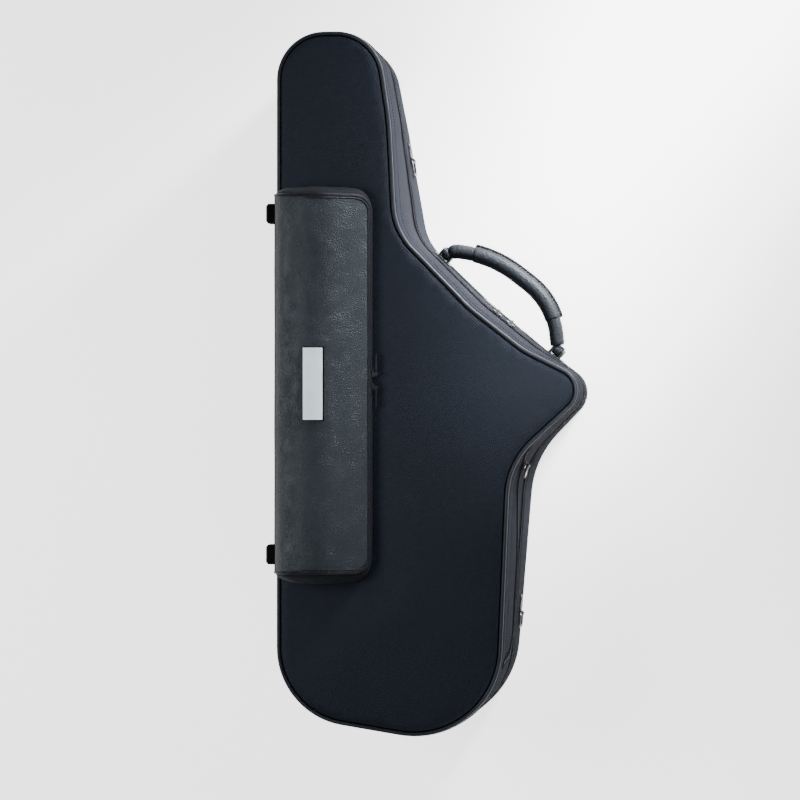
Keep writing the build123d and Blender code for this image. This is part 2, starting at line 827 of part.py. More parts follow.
def document_strip(width, inner_inset, outer_inset):
    outer_form = case_body(outer_inset, document_skin_low, document_skin_high)
    inner_form = case_body(inner_inset, document_skin_low, document_skin_high)
    with BuildPart() as strip:
        with BuildSketch(Plane.YZ):
            with BuildLine():
                FilletPolyline(*document_run, radius=document_bend_radius)
            trace(line_width=width)
        extrude(amount=case_width)
        add(outer_form, mode=Mode.INTERSECT)
        add(inner_form, mode=Mode.SUBTRACT)
    return strip.part


document_tape_outer = -document_tape_thickness
document_teeth_outer = document_tape_outer - document_teeth_thickness
with BuildPart() as document_zip_tape:
    add(document_strip(document_tape_width, 0, document_tape_outer))
finish(document_zip_tape.part, "document_zip_tape")
with BuildPart() as document_zip_teeth:
    add(document_strip(document_teeth_width, document_tape_outer, document_teeth_outer))
finish(document_zip_teeth.part, "document_zip_teeth")

document_wall = hollow_corner_plane(waist_corner, document_slider_share * case_depth)
document_lift = document_tape_thickness + document_teeth_thickness + document_slider_gap
turned_wall = Plane(document_wall.location * Rot(0, 0, document_slider_turn))
document_seat = turned_wall.offset(document_lift)
with BuildPart() as document_slider:
    add(zipper_slider(document_seat))
finish(document_slider.part, "document_slider")
with BuildPart() as document_puller:
    add(zipper_puller(document_seat, False))
finish(document_puller.part, "document_puller")

# Accessory pocket: a floor and half a zipper on the lid, and a cover that lifts
pocket_left = spine_x + pocket_edge_inset
pocket_right = pocket_left + pocket_width
pocket_low_end = -pocket_length / 2
with BuildPart() as pocket_floor:
    with BuildSketch(Plane.XY.offset(case_depth)):
        with Locations((pocket_left, 0)):
            Rectangle(pocket_width, pocket_length, align=(Align.MIN, Align.CENTER))
    extrude(amount=pocket_sheet)
finish(pocket_floor.part, "pocket_floor")

pocket_tape_low = case_depth + pocket_sheet
pocket_teeth_low = pocket_tape_low + pocket_tape_height
pocket_teeth_top = pocket_teeth_low + pocket_teeth_height
upper_teeth_low = pocket_teeth_top + lining_gap
upper_teeth_top = upper_teeth_low + pocket_teeth_height


def pocket_strip(height, thickness, rise):
    with BuildPart() as strip:
        with BuildSketch(Plane.XY.offset(height)):
            with Locations((pocket_right, 0)):
                Rectangle(thickness, pocket_length)
        extrude(amount=rise)
    return strip.part


with BuildPart() as pocket_lower_tape:
    add(pocket_strip(pocket_tape_low, pocket_tape_thickness, pocket_tape_height))
finish(pocket_lower_tape.part, "pocket_lower_tape")
with BuildPart() as pocket_lower_teeth:
    add(pocket_strip(pocket_teeth_low, pocket_teeth_thickness, pocket_teeth_height))
finish(pocket_lower_teeth.part, "pocket_lower_teeth")
with BuildPart() as pocket_upper_teeth:
    add(pocket_strip(upper_teeth_low, pocket_teeth_thickness, pocket_teeth_height))
finish(pocket_upper_teeth.part, "pocket_upper_teeth")

pocket_points = [
    (across_share * pocket_width, height_share * pocket_height)
    for across_share, height_share in pocket_profile_shares
]
pocket_foot = (pocket_width, pocket_points[0][1])
cover_plane = Plane(
    origin=(pocket_left, pocket_length / 2, case_depth), x_dir=(1, 0, 0), z_dir=(0, -1, 0)
)
cover_radii = (pocket_left_radius, pocket_top_radius)
with BuildPart() as pocket_cover:
    with BuildSketch(cover_plane):
        with BuildLine():
            FilletPolyline(*pocket_points, radius=cover_radii)
        trace(line_width=pocket_wall)
    extrude(amount=pocket_length)
    split(bisect_by=Plane.XY.offset(pocket_tape_low + pocket_seat_gap), keep=Keep.TOP)
finish(pocket_cover.part, "pocket_cover")


def pocket_end_face(grow):
    """The pocket's closed end profile, grown or shrunk by a distance."""
    with BuildSketch(Plane.XY) as profile:
        with BuildLine():
            over = FilletPolyline(*pocket_points, radius=cover_radii)
            Polyline(over @ 1, pocket_foot, over @ 0)
        make_face()
        offset(amount=grow, kind=Kind.INTERSECTION)
    return profile.sketch


gusset_face = pocket_end_face(0)
gusset_hollow_face = pocket_end_face(-gusset_wall)
gusset_hollow_depth = gusset_bulge - gusset_wall


def pocket_gusset(end, outward):
    base = Plane(origin=(pocket_left, end, case_depth), x_dir=(1, 0, 0), z_dir=(0, -1, 0))
    reach = gusset_bulge if outward < 0 else -gusset_bulge
    hollow = gusset_hollow_depth if outward < 0 else -gusset_hollow_depth
    with BuildPart() as gusset:
        with BuildSketch(base):
            add(gusset_face)
        extrude(amount=reach)
        outer_end = gusset.faces().filter_by(Axis.Y).sort_by(Axis.Y)[-1 if outward > 0 else 0]
        top_edges = outer_end.edges().sort_by(Axis.Z)[1:]
        chamfer(top_edges, length=gusset_bevel)
        with BuildSketch(base):
            add(gusset_hollow_face)
        extrude(amount=hollow, mode=Mode.SUBTRACT)
    return gusset.part


with BuildPart() as pocket_gusset_upper:
    add(pocket_gusset(pocket_length / 2, 1))
finish(pocket_gusset_upper.part, "pocket_gusset_upper")
with BuildPart() as pocket_gusset_lower:
    add(pocket_gusset(pocket_low_end, -1))
finish(pocket_gusset_lower.part, "pocket_gusset_lower")

# Bare name plate, curved to the cover's top
plate_seat = pocket_wall / 2 + seam_gap
plate_over = pocket_end_face(plate_seat + plate_thickness)
plate_under = pocket_end_face(plate_seat)
plate_plane = Plane(
    origin=(pocket_left, plate_length / 2, case_depth), x_dir=(1, 0, 0), z_dir=(0, -1, 0)
)
with BuildPart() as name_plate:
    with BuildSketch(plate_plane):
        add(plate_over)
        add(plate_under, mode=Mode.SUBTRACT)
        with Locations((plate_centre_share * pocket_width, pocket_height)):
            Rectangle(plate_width, pocket_height, mode=Mode.INTERSECT)
    extrude(amount=plate_length)
finish(name_plate.part, "name_plate")


def pocket_seat(share):
    seat_x = pocket_right + pocket_teeth_thickness / 2 + slider_gap
    seat_y = (share - 1 / 2) * pocket_length
    seat_z = pocket_teeth_top + lining_gap / 2
    return Plane(origin=(seat_x, seat_y, seat_z), x_dir=(0, 1, 0), z_dir=(1, 0, 0))


upper_pocket_seat = pocket_seat(upper_pocket_slider_share)
lower_pocket_seat = pocket_seat(lower_pocket_slider_share)
with BuildPart() as pocket_slider_upper:
    add(zipper_slider(upper_pocket_seat))
finish(pocket_slider_upper.part, "pocket_slider_upper")
with BuildPart() as pocket_slider_lower:
    add(zipper_slider(lower_pocket_seat))
finish(pocket_slider_lower.part, "pocket_slider_lower")
with BuildPart() as pocket_puller_upper:
    add(zipper_puller(upper_pocket_seat, True))
finish(pocket_puller_upper.part, "pocket_puller_upper")
with BuildPart() as pocket_puller_lower:
    add(zipper_puller(lower_pocket_seat, False))
finish(pocket_puller_lower.part, "pocket_puller_lower")
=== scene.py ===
from functools import cache
from math import ceil, cos, pi, radians, sin, sqrt, tan
import bmesh
import bpy
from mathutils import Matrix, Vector, noise
from mathutils.geometry import delaunay_2d_cdt


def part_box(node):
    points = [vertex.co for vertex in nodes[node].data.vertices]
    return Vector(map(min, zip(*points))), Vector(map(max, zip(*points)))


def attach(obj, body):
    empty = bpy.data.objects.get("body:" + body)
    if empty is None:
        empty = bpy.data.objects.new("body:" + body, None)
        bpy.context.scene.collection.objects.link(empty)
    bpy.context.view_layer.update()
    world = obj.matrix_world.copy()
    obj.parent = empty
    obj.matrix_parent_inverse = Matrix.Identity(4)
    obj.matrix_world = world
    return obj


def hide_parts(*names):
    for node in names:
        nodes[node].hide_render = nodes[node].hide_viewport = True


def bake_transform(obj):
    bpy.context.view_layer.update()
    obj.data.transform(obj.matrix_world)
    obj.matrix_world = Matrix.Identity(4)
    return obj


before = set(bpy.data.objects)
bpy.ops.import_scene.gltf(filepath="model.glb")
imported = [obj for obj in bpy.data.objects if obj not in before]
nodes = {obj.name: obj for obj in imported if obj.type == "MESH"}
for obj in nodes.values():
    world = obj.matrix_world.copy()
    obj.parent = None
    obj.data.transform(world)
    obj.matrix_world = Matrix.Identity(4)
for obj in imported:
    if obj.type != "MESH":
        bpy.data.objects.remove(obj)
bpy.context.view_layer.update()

scene = bpy.context.scene

# Lengths are millimetres and become metres when a mesh is made. The outline's tables and
# the other sizes repeat the part's own.
MM = 0.001
LENGTH, WIDTH, DEPTH, SEAM = 840.0, 362.0, 205.0, 80.0
SPINE = -WIDTH / 2
FRONT_SHARES = (
    (0.0, 1.0), (0.336, 1.0), (0.381, 0.872), (0.399, 0.718), (0.648, 0.608),
    (0.824, 0.549), (1.058, 0.499), (0.776, 0.387), (0.736, -0.019), (0.0, 0.031),
)
BACK_SHARES = (
    (0.0, 1.0), (0.297, 1.0), (0.356, 0.872), (0.424, 0.709), (0.642, 0.619),
    (0.823, 0.554), (1.013, 0.493), (0.790, 0.392), (0.711, -0.017), (0.0, 0.031),
)
FRONT_RADII = (57.0, 59.0, 400.0, 79.0, 105.0, 120.0, 28.8, 89.0, 107.0, 93.0)
BACK_RADII = (57.0, 60.0, 400.0, 66.0, 150.0, 120.0, 30.5, 118.0, 110.0, 93.0)
RUN_SHARE = 0.49
SMALLEST_RADIUS = 3.0
ARC_STEP, RUN_STEP = radians(4.5), 9.0
HINGE_HALF = 234.8
SPINE_ZONE = 12.0
UP = Vector((0, 0, 1))


def box_of(name):
    """The least and greatest corner of a node's box, in millimetres."""
    return [[c / MM for c in corner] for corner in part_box(name)]


# The outline
def left_of(along):
    return Vector((-along.y, along.x))


def turned(spoke, angle):
    """A flat vector turned by an angle."""
    return Vector((
        spoke.x * cos(angle) - spoke.y * sin(angle),
        spoke.x * sin(angle) + spoke.y * cos(angle),
    ))


def corner_table(shares, radii):
    """Each corner of the outline: place, run-in, run-out, turn and rounding."""
    points = [Vector((sx * WIDTH - WIDTH / 2, sy * LENGTH - LENGTH / 2)) for sx, sy in shares]
    table = []
    for i, point in enumerate(points):
        run_in = point - points[i - 1]
        run_out = points[(i + 1) % len(points)] - point
        turn = run_in.angle(run_out)
        room = RUN_SHARE * min(run_in.length, run_out.length) / tan(turn / 2)
        table.append((point, run_in.normalized(), run_out.normalized(), turn, min(radii[i], room)))
    return table


BACK_TABLE = corner_table(BACK_SHARES, BACK_RADII)
FRONT_TABLE = corner_table(FRONT_SHARES, FRONT_RADII)


def run_counts():
    """Points on each corner's arc and on the run after it, the same at every height."""
    arcs, runs = [], []
    for i, (point, _, _, turn, rounding) in enumerate(BACK_TABLE):
        arcs.append(max(8, ceil(turn / ARC_STEP)))
        after = BACK_TABLE[(i + 1) % len(BACK_TABLE)]
        trims = rounding * tan(turn / 2) + after[4] * tan(after[3] / 2)
        length = (after[0] - point).length - trims
        runs.append(max(2, ceil(length / RUN_STEP)))
    return arcs, runs


ARC_COUNTS, RUN_COUNTS = run_counts()


def flat_ring(table, inset):
    """The outline's points a distance inside it, with a fixed number on each corner."""
    arcs = []
    for point, d_in, d_out, turn, rounding in table:
        n_in, n_out = -left_of(d_in), -left_of(d_out)
        corner = point + (n_in + n_out) * (inset / (1 + n_in.dot(n_out)))
        side = 1 if d_in.x * d_out.y - d_in.y * d_out.x < 0 else -1
        radius = max(rounding - inset * side, SMALLEST_RADIUS)
        centre = corner - d_in * (radius * tan(turn / 2)) + n_in * (radius * side)
        arcs.append((centre, -n_in * (radius * side), -turn * side))
    points = []
    for i, (centre, spoke, turn) in enumerate(arcs):
        count, steps = ARC_COUNTS[i], RUN_COUNTS[i]
        points += [centre + turned(spoke, turn * k / count) for k in range(count + 1)]
        next_centre, next_spoke, _ = arcs[(i + 1) % len(arcs)]
        start, end = points[-1], next_centre + next_spoke
        points += [start + (end - start) * (k / steps) for k in range(1, steps)]
    return points


@cache
def flat_rings(inset):
    return flat_ring(BACK_TABLE, inset), flat_ring(FRONT_TABLE, inset)


def ring(inset, height):
    """The outline's points a distance inside it at a height, as on the part's own walls."""
    low, high = flat_rings(inset)
    share = height / DEPTH
    return [
        Vector((a.x + (b.x - a.x) * share, a.y + (b.y - a.y) * share, height))
        for a, b in zip(low, high)
    ]


def wall_ring(height, outward):
    """The wall's points at a height, a distance outside it, or inside it below 0."""
    points = ring(max(-outward, 0.0), height)
    if outward <= 0:
        return points
    return [p + (s - p) * outward for p, s in zip(points, ring(-1.0, height))]


def at_height(points, height):
    return [Vector((p.x, p.y, height)) for p in points]


def crossings(points, y):
    """Where a closed outline crosses a line at a length, from left to right."""
    return sorted(
        a.x + (b.x - a.x) * (y - a.y) / (b.y - a.y)
        for a, b in zip(points, points[1:] + points[:1]) if (a.y > y) != (b.y > y)
    )


def evenly(low, high, steps):
    """Values an even step apart, from low to high."""
    return [low + (high - low) * k / steps for k in range(steps + 1)]


def smooth_step(value, low, high):
    share = min(1.0, max(0.0, (value - low) / (high - low)))
    return share * share * (3 - 2 * share)


def spine_ease(point):
    """0 on the spine behind the hinge and the feet, 1 elsewhere: nothing bulges there."""
    if point.x > SPINE + SPINE_ZONE:
        return 1.0
    return smooth_step(abs(point.y), HINGE_HALF, HINGE_HALF + 30)


# Meshes
def add_object(name, data):
    obj = bpy.data.objects.new(name, data)
    scene.collection.objects.link(obj)
    return obj


def edit_mesh(obj, change=None):
    """Makes a change to an object's mesh and turns its faces outward."""
    bm = bmesh.new()
    bm.from_mesh(obj.data)
    bm.verts.ensure_lookup_table()
    if change:
        change(bm)
    bmesh.ops.recalc_face_normals(bm, faces=bm.faces)
    bm.to_mesh(obj.data)
    bm.free()


def add_mesh(name, verts, faces, smooth=True):
    mesh = bpy.data.meshes.new(name)
    mesh.from_pydata([tuple(c * MM for c in v) for v in verts], [], faces)
    mesh.validate()
    for polygon in mesh.polygons:
        polygon.use_smooth = smooth
    obj = add_object(name, mesh)
    edit_mesh(obj)
    return obj


def loop_faces(rows, columns, start=0, close_rows=False, close_columns=True):
    """Quads over a grid of rows and columns of points, wrapped either way."""
    faces = []
    for r in range(rows if close_rows else rows - 1):
        low, high = start + r * columns, start + (r + 1) % rows * columns
        for c in range(columns if close_columns else columns - 1):
            beside = (c + 1) % columns
            faces.append((low + c, low + beside, high + beside, high + c))
    return faces


def tube_faces(rows, columns, start=0):
    """Quads round a tube of rows, and a face over each of its ends."""
    last = start + (rows - 1) * columns
    ends = [tuple(range(start, start + columns)), tuple(last + i for i in reversed(range(columns)))]
    return loop_faces(rows, columns, start) + ends


def slab_faces(rows, columns):
    """Faces of a thin slab from two grids of points, with the rim between them."""
    one = rows * columns
    faces = loop_faces(rows, columns, 0, close_columns=False)
    faces += loop_faces(rows, columns, one, close_columns=False)
    rim = list(range(columns)) + [columns * r + columns - 1 for r in range(1, rows)]
    rim += [(rows - 1) * columns + c for c in range(columns - 2, -1, -1)]
    rim += [columns * r for r in range(rows - 2, 0, -1)]
    return faces + [(a, b, b + one, a + one) for a, b in zip(rim, rim[1:] + rim[:1])]


def fill_outline(outline, spacing):
    """Points and triangles that fill a closed outline, the outline's own points first."""
    flat = [p.to_2d() for p in outline]
    low_y, high_y = min(p.y for p in flat), max(p.y for p in flat)
    row_share, margin, offset, clear = 0.87, 0.6, 1.1, 0.5
    inner = []
    rows = int((high_y - low_y) / (spacing * row_share))
    for r in range(1, rows):
        y = low_y + (high_y - low_y) * r / rows
        places = crossings(flat, y)
        for left, right in zip(places[::2], places[1::2]):
            x = left + spacing * (margin if r % 2 else offset)
            while x < right - spacing * margin:
                spot = Vector((x, y))
                if all((spot - p).length_squared > (spacing * clear) ** 2 for p in flat):
                    inner.append(spot)
                x += spacing
    count = len(flat)
    edges = [(i, (i + 1) % count) for i in range(count)]
    result = delaunay_2d_cdt(flat + inner, edges, [], 1, 1e-4)
    index_of = {new: old[0] for new, old in enumerate(result[3]) if old}
    triangles = [
        tuple(index_of[i] for i in face) for face in result[2] if all(i in index_of for i in face)
    ]
    return inner, triangles


def fill_cap(verts, outline, spacing, first, height):
    """Fills an outline whose points are verts from the first on, and gives the faces."""
    inner, triangles = fill_outline(outline, spacing)
    count, start = len(outline), len(verts)
    verts += [Vector((p.x, p.y, height(p))) for p in inner]
    return [tuple(first + i if i < count else start + i - count for i in tri) for tri in triangles]


def fillet_line(points, radii, step=radians(6)):
    """An open run of 2-D points with each inner corner rounded."""
    points = [Vector(p) for p in points]
    out = [points[0]]
    for before, corner, after, radius in zip(points, points[1:], points[2:], radii):
        d_in, d_out = (corner - before).normalized(), (after - corner).normalized()
        turn = d_in.angle(d_out)
        side = 1 if d_in.x * d_out.y - d_in.y * d_out.x > 0 else -1
        normal = left_of(d_in) * side
        centre = corner - d_in * (radius * tan(turn / 2)) + normal * radius
        count = max(3, ceil(turn / step))
        out += [centre + turned(-normal * radius, turn * side * k / count) for k in range(count + 1)]
    return out + [points[-1]]


def even_points(points, pitch, closed=False):
    """Points an even distance apart along a run, each with its direction."""
    points = list(points) + ([points[0]] if closed else [])
    length = sum((b - a).length for a, b in zip(points, points[1:]))
    count = max(2, round(length / pitch))
    gap, most = length / count, count if closed else count + 1
    out, travelled, wanted = [], 0.0, 0.0
    for a, b in zip(points, points[1:]):
        part = (b - a).length
        if part == 0:
            continue
        while wanted <= travelled + part + 1e-6 and len(out) < most:
            out.append((a + (b - a) * ((wanted - travelled) / part), (b - a) / part))
            wanted += gap
        travelled += part
    return out


def sweep(path, section, closed=False, start=0):
    """Points and faces of a section swept along frames of (centre, side, up, scale)."""
    verts = [
        centre + side * (a * scale) + up * (b * scale)
        for k, (centre, side, up, scale) in enumerate(path)
        for a, b in section(k / max(1, len(path) - 1))
    ]
    count = len(section(0.0))
    if closed:
        return verts, loop_faces(len(path), count, start, close_rows=True)
    return verts, tube_faces(len(path), count, start)


def ellipse(across, high, sides):
    turns = [2 * pi * i / sides for i in range(sides)]
    return [(across * cos(turn), high * sin(turn)) for turn in turns]


def circle_section(radius, sides):
    return lambda share: ellipse(radius, radius, sides)


# Materials
class Surface:
    """A material in the making, with short ways to add its nodes."""

    def __init__(self, name):
        self.material = bpy.data.materials.new(name)
        self.material.use_nodes = True
        self.tree = self.material.node_tree
        self.place = self.add("TexCoord").outputs["Object"]

    def put(self, socket, value):
        if isinstance(value, bpy.types.NodeSocket):
            self.tree.links.new(value, socket)
        else:
            socket.default_value = value

    def fill_in(self, made, **inputs):
        """Sets a node's inputs by name, with _ for a space."""
        for name, value in inputs.items():
            self.put(made.inputs[name.replace("_", " ")], value)
        return made

    def add(self, kind, **inputs):
        return self.fill_in(self.tree.nodes.new("ShaderNode" + kind), **inputs)

    def finish(self, **inputs):
        self.fill_in(self.tree.nodes["Principled BSDF"], **inputs)
        return self.material

    def noise(self, scale, detail=3.0, place=None):
        place = self.place if place is None else place
        return self.add("TexNoise", Vector=place, Scale=scale, Detail=detail).outputs["Fac"]

    def ramp(self, source, low, high, dark, light):
        made = self.add("ValToRGB", Fac=source)
        for element, place, colour in zip(made.color_ramp.elements, (low, high), (dark, light)):
            element.position = place
            element.color = (*colour, 1.0)
        return made.outputs["Color"]

    def maths(self, operation, *terms):
        made = self.add("Math")
        made.operation = operation
        for socket, term in zip(made.inputs, terms):
            self.put(socket, term)
        return made.outputs[0]

    def mix(self, *pairs):
        """The sum of sources, each times its weight."""
        total = None
        for source, weight in pairs:
            term = self.maths("MULTIPLY", source, weight)
            total = term if total is None else self.maths("ADD", total, term)
        return total

    def span(self, value, to_low, to_high, low=0.0, high=1.0):
        """A value moved from the range low to high into another."""
        made = self.add(
            "MapRange", Value=value, From_Min=low, From_Max=high, To_Min=to_low, To_Max=to_high
        )
        return made.outputs["Result"]

    def bump(self, height, strength, distance):
        made = self.add("Bump", Strength=strength, Distance=distance, Height=height)
        self.finish(Normal=made.outputs["Normal"])


def cloth(name, dark, light, pitch, roughness, sheen, depth, contrast, specular):
    """Threads that cross at a pitch, broken up by noise, with larger blotches."""
    look = Surface(name)
    split = look.add("SeparateXYZ", Vector=look.place).outputs
    waves = [look.maths("SINE", look.maths("MULTIPLY", split[axis], pi / pitch)) for axis in "XY"]
    threads = look.maths("MULTIPLY", look.maths("MULTIPLY", *waves), look.noise(420.0))
    blotches, fine = look.noise(9.0, 4.0), look.noise(900.0, 2.0)
    look.bump(look.mix((threads, 1.0), (fine, 1.5)), 0.7, depth)
    mixed = look.mix((threads, contrast), (blotches, 0.5), (fine, 0.5))
    return look.finish(
        Base_Color=look.ramp(mixed, 0.15, 0.85, dark, light), Roughness=roughness,
        Specular_IOR_Level=specular, Specular_Tint=(0.7, 0.81, 1.0, 1.0), Sheen_Weight=sheen,
        Sheen_Roughness=0.45, Sheen_Tint=(0.55, 0.68, 0.9, 1.0),
    )


def leather(name, dark, light, grain, roughness, depth, specular, painted_shade=None, patches=None):
    """Grained leather. A painted shade darkens its colour and dims its reflection towards a place across;
    patches vary the grain.
    """
    look = Surface(name)
    cells = look.add("TexVoronoi")
    cells.feature = "SMOOTH_F1"
    cells = look.fill_in(cells, Vector=look.place, Scale=grain, Smoothness=0.6).outputs["Distance"]
    fine, large = look.noise(grain * 2.2), look.noise(7.0, 4.0)
    colour = look.ramp(look.mix((cells, 0.5), (large, 0.6)), 0.2, 0.8, dark, light)
    strength = look.span(look.noise(patches), 0.45, 1.0, 0.36, 0.64) if patches else 0.8
    look.bump(look.mix((cells, 1.0), (fine, 0.5)), strength, depth)
    if painted_shade:
        # Painted shade: below the range across, the colour falls to a fifth and the reflection to none.
        shade_fade = look.span(look.add("SeparateXYZ", Vector=look.place).outputs["X"], 0.0, 1.0, *painted_shade)
        specular = look.maths("MULTIPLY", shade_fade, specular)
        scaled = look.add("VectorMath")
        scaled.operation = "SCALE"
        colour = look.fill_in(scaled, Vector=colour, Scale=look.span(shade_fade, 0.2, 1.0)).outputs["Vector"]
    return look.finish(
        Base_Color=colour, Specular_IOR_Level=specular, Specular_Tint=(0.84, 0.92, 1.0, 1.0),
        Roughness=look.span(large, roughness - 0.07, roughness + 0.09),
    )


def metal(name, dark, light, roughness, brushed=False, metallic=1.0):
    """Metal with fine scratches, drawn out along the length where it is brushed."""
    look = Surface(name)
    if brushed:
        drawn = look.add("Mapping", Vector=look.place, Scale=(1.0, 0.03, 1.0)).outputs["Vector"]
        scratches = look.noise(2500.0, 4.0, drawn)
    else:
        scratches = look.noise(220.0, 4.0)
    mixed = look.mix((scratches, 0.5), (look.noise(40.0), 0.5))
    look.bump(scratches, 0.15, 0.00005)
    return look.finish(
        Base_Color=look.ramp(mixed, 0.3, 0.7, dark, light), Metallic=metallic,
        Roughness=look.span(mixed, roughness - 0.06, roughness + 0.1),
    )


def plastic(name, dark, light, roughness, grain, depth, specular):
    look = Surface(name)
    fine = look.noise(grain)
    look.bump(fine, 0.3, depth)
    return look.finish(
        Base_Color=look.ramp(look.mix((fine, 0.4), (look.noise(30.0), 0.6)), 0.3, 0.7, dark, light),
        Roughness=roughness, Specular_IOR_Level=specular,
    )


# Each row gives the dark and light colours first. After them a cloth has its threads' pitch,
# roughness, sheen, bump depth, contrast and specular level.
CLOTHS = {
    "woven_cloth": (
        (0.0008, 0.0011, 0.0021), (0.0046, 0.0066, 0.0118), 0.0018, 0.56, 0.02, 0.00034, 0.26, 0.2),
    "gusset_cloth": (
        (0.003, 0.003, 0.0037), (0.009, 0.0094, 0.0112), 0.0011, 0.75, 0.01, 0.0003, 0.4, 0.1),
    "zipper_tape": (
        (0.003, 0.003, 0.004), (0.009, 0.0095, 0.0115), 0.0008, 0.8, 0.0, 0.0001, 0.4, 0.002),
    "plush_lining": (
        (0.012, 0.013, 0.018), (0.03, 0.032, 0.04), 0.003, 0.95, 0.6, 0.0004, 0.4, 0.3),
    "thread_grey": (
        (0.012, 0.013, 0.016), (0.04, 0.043, 0.05), 0.0006, 0.7, 0.0, 0.0001, 0.4, 0.004),
}
# Grain, roughness, bump depth and specular level, then the range across of the cover's painted shade and
# its patches
LEATHERS = {
    "band_leatherette": (
        (0.006, 0.0068, 0.009), (0.019, 0.0205, 0.0255), 430.0, 0.6, 0.0008, 0.001),
    "binding_leatherette": (
        (0.006, 0.007, 0.010), (0.018, 0.02, 0.027), 430.0, 0.5, 0.0004, 0.001),
    "piping_leatherette": (
        (0.006, 0.007, 0.010), (0.018, 0.021, 0.027), 700.0, 0.34, 0.0001, 0.15),
    # The cover's colour and reflection are painted darker towards its left edge as painted shade.
    "cover_leatherette": (
        (0.006, 0.0078, 0.01), (0.022, 0.0265, 0.032), 700.0, 0.37, 0.00062, 0.22,
        (-0.1765, -0.169), 60.0),
    "rim_leatherette": (
        (0.003, 0.0035, 0.005), (0.010, 0.011, 0.014), 620.0, 0.42, 0.0003, 0.12),
    "handle_leather": (
        (0.003, 0.0036, 0.0049), (0.010, 0.0116, 0.0152), 480.0, 0.48, 0.0005, 0.17),
    "strap_leather": ((0.006, 0.006, 0.008), (0.018, 0.019, 0.022), 500.0, 0.4, 0.0002, 0.5),
}
# Roughness, and for the plate whether it is brushed and how metallic it is
METALS = {
    "nickel_plate": ((0.06, 0.06, 0.065), (0.2, 0.2, 0.21), 0.3),
    "dark_zinc": ((0.014, 0.0145, 0.016), (0.07, 0.072, 0.08), 0.28),
    "plate_metal": ((0.62, 0.76, 0.82), (0.8, 0.95, 1.0), 0.5, True, 0.45),
}
# Roughness, grain, bump depth and specular level
PLASTICS = {
    "seam_shadow": ((0.0006, 0.0007, 0.001), (0.0015, 0.0017, 0.002), 0.95, 600.0, 0.00006, 0.02),
    "zipper_teeth": ((0.002, 0.002, 0.003), (0.008, 0.008, 0.0105), 0.4, 600.0, 0.00006, 0.008),
    "shell_board": ((0.008, 0.008, 0.01), (0.02, 0.02, 0.024), 0.8, 300.0, 0.0003, 0.5),
    "foot_rubber": ((0.001, 0.001, 0.001), (0.004, 0.004, 0.004), 0.8, 800.0, 0.00006, 0.05),
    "anchor_metal": ((0.003, 0.0032, 0.004), (0.011, 0.012, 0.0145), 0.4, 600.0, 0.00006, 0.12),
}
MATERIALS = {
    name: maker(name, *row)
    for maker, rows in ((cloth, CLOTHS), (leather, LEATHERS), (metal, METALS), (plastic, PLASTICS))
    for name, row in rows.items()
}


def piece(name, verts, faces, material, body, replaced=None, slot=None, smooth=True):
    """Adds a piece, and hides the node that it replaces. Its slot is not used."""
    obj = add_mesh(name, verts, faces, smooth)
    obj.data.materials.append(MATERIALS[material])
    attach(obj, body)
    if replaced:
        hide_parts(replaced)
        slot = slot or material
    return obj


def wall_band(name, profile, material, body, replaced, waviness=0.0, seed=0.0):
    """A band round the case from a closed profile of (height, outward)."""
    verts, least, rate, finer, share = [], 0.02, 0.028, 3.1, 0.4
    for height, outward in profile:
        points = ring(max(-outward, 0.0), height)
        if outward <= 0:
            verts += points
            continue
        for point, spread in zip(points, ring(-1.0, height)):
            lift = outward
            if waviness:
                place = point * rate + Vector((seed, 0, 0))
                lift += waviness * (noise.noise(place) + share * noise.noise(place * finer))
            verts.append(point + (spread - point) * max(lift * spine_ease(point), least))
    faces = loop_faces(len(profile), len(verts) // len(profile), close_rows=True)
    piece(name, verts, faces, material, body, replaced)


# Rows of teeth and stitches
BOX_FACES = ((0, 1, 3, 2), (4, 6, 7, 5), (0, 4, 5, 1), (2, 3, 7, 6), (0, 2, 6, 4), (1, 5, 7, 3))
STITCH_PITCH, THREAD = 3.9, 0.6


def tooth_row(name, blocks, sizes, taper, body, node_name):
    """A row of little blocks with tapered outer faces at places of (centre, along, out, up)."""
    verts, faces = [], []
    length, depth, rise = sizes
    for centre, along, out, up in blocks:
        faces += [tuple(len(verts) + i for i in face) for face in BOX_FACES]
        verts += [
            centre + along * (a * length * shrink) + out * b + up * (c * rise * (shrink + 1) / 2)
            for b, shrink in ((0, 1.0), (depth, taper)) for c in (-0.5, 0.5) for a in (-0.5, 0.5)
        ]
    piece(name, verts, faces, "zipper_teeth", body, node_name, smooth=False)


def stitch_row(name, places, length, material, body, thread=THREAD):
    """A row of stitches: short raised threads at places of (point, along, out)."""
    verts, faces = [], []
    sides = 6
    for point, along, out in places:
        side = along.cross(out).normalized()
        faces += tube_faces(4, sides, len(verts))
        for share, size, lift in (
            (-0.5, 0.45, -0.15), (-0.3, 1.0, thread * 0.3), (0.3, 1.0, thread * 0.3), (0.5, 0.45, -0.15),
        ):
            middle = point + along * (share * length) + out * lift
            radius = thread * size / 2
            verts += [middle + side * a + out * b for a, b in ellipse(radius, radius, sides)]
    piece(name, verts, faces, material, body)


def ring_frames(height, outward, pitch, margin):
    """Even places on the wall, but not behind the hinge: point, direction and outward."""
    places = []
    for point, along in even_points(wall_ring(height, outward), pitch, closed=True):
        if point.x >= SPINE + SPINE_ZONE or abs(point.y) >= HINGE_HALF + margin:
            places.append((point, along, left_of(along).to_3d().normalized()))
    return places


# Camera and light
def make_camera():
    data = bpy.data.cameras.new("view")
    data.sensor_width = 36.0
    data.lens = 174.355
    data.clip_end = 50.0
    camera = add_object("view", data)
    camera.location = (0.67564, -0.02503, 4.75082)
    camera.rotation_euler = (0.00130746, 0.154365, 0.000169)
    scene.camera = camera


